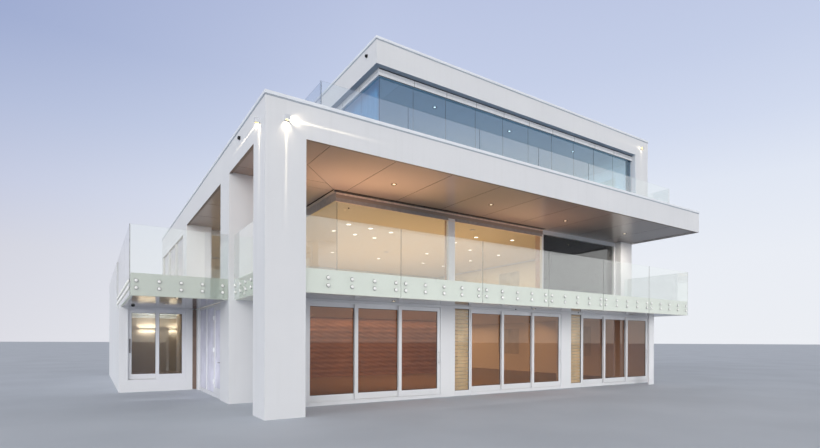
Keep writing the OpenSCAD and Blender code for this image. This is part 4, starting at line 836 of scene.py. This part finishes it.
slats = bmesh.new()
slot_wide, slat_count, slat_pitch, slat_foot = 0.584, 22, 0.104, 0.215
slat_turn = Matrix.Rotation(math.radians(75), 4, "X")
slat_size = Matrix.Diagonal((0.576, 0.032, 0.0032, 1))
for left in (5.703, 10.593):
    for i in range(slat_count):
        middle = Matrix.Translation(at(left + slot_wide / 2, 1.548, slat_foot + slat_pitch * i))
        for side, tip in ((0.0, 0.0), (0.03, -0.0016), (-0.03, -0.0016)):
            leaf = middle @ slat_turn @ Matrix.Translation((0, side, tip))
            leaf = leaf @ Matrix.Rotation(-side * 5, 4, "X")
            bmesh.ops.create_cube(slats, size=1.0, matrix=leaf @ slat_size)
    block(slats, at(left, 1.525, 2.455), at(left + slot_wide, 1.571, 2.498), 0.002)
    block(slats, at(left + 0.004, 1.53, 0.151), at(left + 0.58, 1.566, 0.168), 0.002)
    for x in (left + 0.14, left + 0.43):
        for y in (1.5245, 1.571):
            block(slats, at(x, y, 0.16), at(x + 0.014, y + 0.001, 2.46))
slot_slats = made("slot_blind_slats", slats,
    [plain("blind_wood", (0.95, 0.77, 0.60), 0.5, patch=0.3, grain=30.0)])
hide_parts("slot_blinds")

# Painted shade: the fabric is near black without sheen, for the dark of the unlit room behind.
blind_fabric, tree, shader = finish("blind_fabric_room_shade", (0.06, 0.05, 0.045), 0.8)
weave = scaled(tree, (900.0, 1.0, 900.0))
threads = put(tree, "TexChecker", {"Vector": weave, "Scale": 1.0}).outputs["Fac"]
coloured(shader, coated(tree, (0.04, 0.03, 0.025), 0.6, 700.0)["Colour"])
bump(shader, threads, 0.2, 0.0003)
shader.inputs["Specular IOR Level"].default_value = 0.0
blind_left, blind_right, blind_top, blind_bottom = 10.87, 15.06, 5.50, 3.10
tube_radius, blind_y = 0.028, 3.031
columns, rows_down = 60, 30
edge_curl, mid_wave = 0.006, 0.0015
rows = []
for i in range(columns + 1):
    share = i / columns
    x = blind_left + (blind_right - blind_left) * share
    row = []
    for j in range(rows_down + 1):
        fall = j / rows_down
        curl = edge_curl * fall * (2 * share - 1) ** 6 + mid_wave * math.sin(9 * share) * fall
        row.append(at(x, blind_y + curl, blind_top - (blind_top - blind_bottom) * fall))
    rows.append(row)
cloth = bmesh.new()
skin(cloth, rows)
blind = made("roller_blind", cloth, [blind_fabric])
fitting = bmesh.new()
tube_long = blind_right - blind_left + 0.01
turned(fitting, at(blind_left - 0.005, blind_y + tube_radius, blind_top), RIGHT,
    [(0, 0), (tube_radius, 0), (tube_radius, tube_long), (0, tube_long)], sides=24)
for x in (blind_left - 0.012, blind_right + 0.006):
    block(fitting, at(x, 3.024, blind_top - 0.04), at(x + 0.006, 3.10, blind_top + 0.04), 0.001)
block(fitting, at(blind_left, blind_y - 0.006, blind_bottom - 0.03),
    at(blind_right, blind_y + 0.008, blind_bottom + 0.004), 0.002)
blind_bar = made("roller_blind_fittings", fitting, [plain("blind_bar", (0.16, 0.15, 0.145), 0.4)])


# SHEER CURTAIN: gathered behind the left panes of the top storey, on gliders in a ceiling track.
# The voile is a fine weave with slubs, and lets part of the light through between its threads.
sheer, tree, shader = finish("sheer_voile", (0.93, 0.94, 0.95), 0.8)
coloured(shader, coated(tree, (0.93, 0.94, 0.95), 0.2, 900.0)["Colour"])
slubs = noise(tree, scaled(tree, (60.0, 60.0, 2.0)), 3.0, 3.0)
bump(shader, slubs, 0.3, 0.001)
holes = put(tree, "BsdfTransparent", {"Color": white})
open_share = put(tree, "MapRange", {"Value": slubs, "From Min": 0.3, "From Max": 0.7,
    "To Min": 0.30, "To Max": 0.45}).outputs[0]
woven = mixed(tree, open_share, shader, holes)
tree.links.new(woven.outputs[0], tree.nodes["Material Output"].inputs["Surface"])
curtain_from, curtain_to, curtain_foot, curtain_head = 2.45, 6.32, 6.15, 8.66
curtain_line, fold_depth, folds, fold_steps = 3.80, 0.035, 34, 10
rows = []
for i in range(folds * fold_steps + 1):
    turn = 2 * math.pi * i / fold_steps
    y = curtain_from + (curtain_to - curtain_from) * i / (folds * fold_steps)
    swing = fold_depth * (1 + 0.25 * math.sin(0.37 * turn)) * math.sin(turn)
    point = Vector((curtain_line + swing, y, 0))
    rows.append([at(point.x, y, z) for z in (curtain_foot, 6.8, 7.4, 8.0, curtain_head)])
cloth = bmesh.new()
skin(cloth, rows)
curtain = made("sheer_curtain", cloth, [sheer])
gliders = [curtain_from + (curtain_to - curtain_from) * (i + 0.5) / folds for i in range(folds)]
curtain_track = boxed("curtain_track", [aluminium],
    ((3.785, curtain_from - 0.05, 8.668), (3.815, curtain_to + 0.05, top_ceiling), 0.001),
    *(((3.795, y - 0.005, 8.652), (3.805, y + 0.005, 8.67)) for y in gliders))


# REAR AND SIDE WINDOWS: white sashes round the panes with a mullion in the middle, a folded sill
# below, and louvred shutters closed across the inside.
sashes, shutters = bmesh.new(), bmesh.new()
sash_half, sash_wide, mullion_half, sill_reach = 0.03, 0.05, 0.035, 0.145
shutter_back, shutter_half, shutter_frame = 0.085, 0.014, 0.055
louvres, louvre_margin, louvre_turn = 18, 0.06, math.radians(14)
for low, high in solids("window_glass"):
    across, along = ways_of(low, high)
    face = (low[across] + high[across]) / 2
    around_pane(sashes, low, high, face - sash_half, face + sash_half, -0.002, sash_wide)
    centre = (low[along] + high[along]) / 2
    a, b = low.copy(), high.copy()
    a[across], b[across] = face - 0.028, face + 0.028
    a[along], b[along] = centre - mullion_half, centre + mullion_half
    a.z, b.z = low.z + sash_wide, high.z - sash_wide
    block(sashes, a, b)
    a, b = low.copy(), high.copy()
    a[across], b[across] = face + sash_half, face + sill_reach
    a.z, b.z = low.z - 0.002, low.z + 0.02
    block(sashes, a, b, 0.002)
    inner = face - shutter_back
    turn = Matrix.Rotation(louvre_turn, 4, "Y" if across == 0 else "X")
    for start, end in ((low[along], centre), (centre, high[along])):
        a, b = low.copy(), high.copy()
        a[along], b[along] = start + 0.003, end - 0.003
        around_pane(shutters, a, b, inner - shutter_half, inner + shutter_half, 0.004, shutter_frame)
        for i in range(louvres):
            middle = (a + b) / 2
            middle[across] = inner
            middle.z = a.z + louvre_margin + (b.z - a.z - 2 * louvre_margin) * (i + 0.5) / louvres
            size = Vector((0.007, 0.007, 0.072))
            size[along] = b[along] - a[along] - 0.112
            bmesh.ops.create_cube(shutters, size=1.0,
                matrix=Matrix.Translation(middle) @ turn @ Matrix.Diagonal((*size, 1)))
made("window_sashes", sashes, [aluminium])
made("louvred_shutters", shutters, [plain("shutter_paint", (0.86, 0.84, 0.79), 0.45, patch=0.4)])


# INNER LININGS: boxing behind the two mullions of the middle storey, painted warm brown as painted
# light from the warm rooms, and a sheet of pale frosting film stuck outside on the side door and the
# fixed lights beside it.
# Painted light: the boxing's warm brown stands for the warm room light falling on it.
boxed("mullion_boxing", [plain("boxing_room_glow", (0.78, 0.62, 0.50), 0.5, patch=0.6)],
    ((6.605, 3.026, 3.01), (6.855, 3.13, 5.59), 0.003),
    ((10.825, 3.026, 3.01), (bay_right, 3.255, 5.59), 0.003))
film_white = plain("frosting_film", (0.87, 0.87, 0.93), 0.5, patch=0.5, grain=200.0)
film_edge = 0.006
for node, body in (("fixed_glass", "house"), ("side_door_glass", "side_door")):
    film = bmesh.new()
    for low, high in solids(node):
        if ways_of(low, high)[0] == 0:
            block(film, Vector((low.x - 0.0035, low.y + film_edge, low.z + film_edge)),
                Vector((low.x - 0.0025, high.y - film_edge, high.z - film_edge)))
    made(node + "_film", film, [film_white], body=body)


# WAVE WALL: a wall of carved boards behind the first set of doors, with low rolling waves cut
# across it and a brown stain.
stained = plain("stained_wave_board", (0.60, 0.46, 0.39), 0.7, patch=0.4, grain=50.0,
    other=(0.49, 0.36, 0.30), relief=(0.2, 0.002))
columns, rows_up = 300, 160
wave_from, wave_to, wave_foot, wave_head = 0.3, 12.2, 0.062, 2.498
wave_face, wave_depth, wave_rise, wave_run = 9.483, 0.016, 0.21, 0.5
rows = []
for i in range(columns + 1):
    x = wave_from + (wave_to - wave_from) * i / columns
    row = []
    for j in range(rows_up + 1):
        z = wave_foot + (wave_head - wave_foot) * j / rows_up
        swell = 0.55 + 0.45 * math.sin(2 * math.pi * x / wave_run + math.pi * z / wave_rise)
        bend = 0.5 * math.sin(2 * math.pi * x / wave_run)
        relief = wave_depth * swell * math.sin(2 * math.pi * z / wave_rise + bend)
        row.append(at(x, wave_face - relief, z))
    rows.append(row)
waves = bmesh.new()
skin(waves, rows)
made("wave_wall", waves, [stained])


# WING ROOM: two long wall lamps, each a dark bar that glows up and down the end wall, under a
# plaster cornice. A dark timber lining closes the slot between the wing and the side wall.
wing_bars = ((-1.29, -0.66), (-0.27, -0.03))
boxed("wing_lamp_bars", [dark_ring], *(box for left, right in wing_bars for box in (
    ((left, 11.40, 1.95), (right, 11.46, 1.985), 0.003),
    ((left + 0.08, 11.45, 1.955), (right - 0.08, 11.50, 1.98)))))
boxed("wing_lamp_lenses", [warm_lens], *(((left + 0.01, 11.41, foot), (right - 0.01, 11.45, head))
    for left, right in wing_bars for foot, head in ((1.985, 1.99), (1.945, 1.95))))
boxed("wing_cornice", [plain("cornice_paint", (0.86, 0.84, 0.80), 0.6)],
    ((-1.9, 11.43, 2.42), (0.0, 11.50, ground_ceiling), 0.012),
    ((-1.9, 11.46, 2.37), (0.0, 11.50, 2.42), 0.008))
boxed("corner_lining", [plain("brown_timber", (0.50, 0.42, 0.38), 0.5, patch=0.2)],
    ((-0.115, 7.186, 0.02), (-0.002, 7.2, 2.48), 0.001))


# ROOM LIGHT: each room's own warm lamps, broad and soft under its ceiling, lamps that shine from
# the bays on to the roof soffit, and lamps for the light that the pale ground throws back up.
def room_lamp(name, centre, target, size, power, colour, spread=180):
    """A rectangular lamp in the house, aimed at a point of the house."""
    lamp(name, "AREA", at(*centre), at(*target), power, colour, shape="RECTANGLE", size=size[0],
        size_y=size[1], spread=math.radians(spread))


warm = (1.0, 0.86, 0.66)
room_lamp("ground_room_lamp", (7.0, 5.6, 2.45), (7.0, 5.6, 0), (6.5, 5.0), 290, warm)
room_lamp("ground_right_lamp", (13.2, 7.6, 2.45), (13.3, 8.2, 0.5), (4.0, 2.4), 60, warm)
room_lamp("rear_room_lamp", (11.5, 12.6, 2.45), (11.5, 12.6, 0), (7.0, 5.0), 190, warm)
room_lamp("wave_wall_lamp", (6.2, 9.25, 2.46), (6.2, 9.44, 0.5), (11.0, 0.06), 40, warm)
room_lamp("middle_room_lamp", (9.6, 9.3, 5.55), (9.6, 9.3, 3), (10.0, 12.0), 450, (1.0, 0.92, 0.78))
room_lamp("middle_room_uplight", (7.4, 8.3, 3.2), (7.4, 8.3, 6), (8.4, 10.0), 128, warm)
room_lamp("balcony_glow", (3.2, 2.2, 3.5), (3.0, 1.5, 5.5), (3.6, 0.6), 68, (1.0, 0.80, 0.64), 110)
room_lamp("far_balcony_glow", (9.0, 2.3, 3.5), (9.0, 1.6, 5.5), (4.0, 0.5), 34, (1.0, 0.80, 0.66), 110)
room_lamp("far_pier_glow", (14.5, 1.7, 5.3), (15.45, 2.66, 4.1), (0.3, 0.3), 9, (1.0, 0.96, 0.9), 110)
room_lamp("front_bounce", (8.8, -0.6, 0.1), (8.8, 0.5, 1.4), (13.0, 3.0), 94, (1.0, 0.995, 0.985))
room_lamp("alcove_bounce", (-1.1, 4.6, 0.1), (-1.0, 6.4, 1.4), (1.8, 2.6), 14, (0.98, 0.98, 1.0))
room_lamp("recess_glow", (1.5, 6.4, 3.2), (1.5, 6.4, 5.5), (1.6, 5.5), 36, (1.0, 0.96, 0.94))
room_lamp("bedroom_lamp", (-0.95, 10.0, 2.45), (-0.95, 10.0, 0), (1.6, 2.2), 4, warm)
for side, x, wide, share in (("left", -0.975, 0.62, 1.0), ("right", -0.15, 0.23, 0.42)):
    for way, z, target_z, power in (("up", 2.0, 3.0, 9), ("down", 1.93, 1.0, 6)):
        room_lamp(f"wing_bar_lamp_{side}_{way}", (x, 11.44, z), (x, 11.48, target_z), (wide, 0.03),
            power * share, (0.93, 0.96, 1.0))
room_lamp("top_room_lamp", (9.3, 6.0, 8.65), (9.3, 6.0, 6), (10.0, 7.0), 230, (0.95, 0.97, 1.0))
room_lamp("top_right_lamp", (14.2, 3.6, 8.2), (15.33, 3.5, 7.3), (2.2, 0.5), 14, (1.0, 0.98, 0.95))
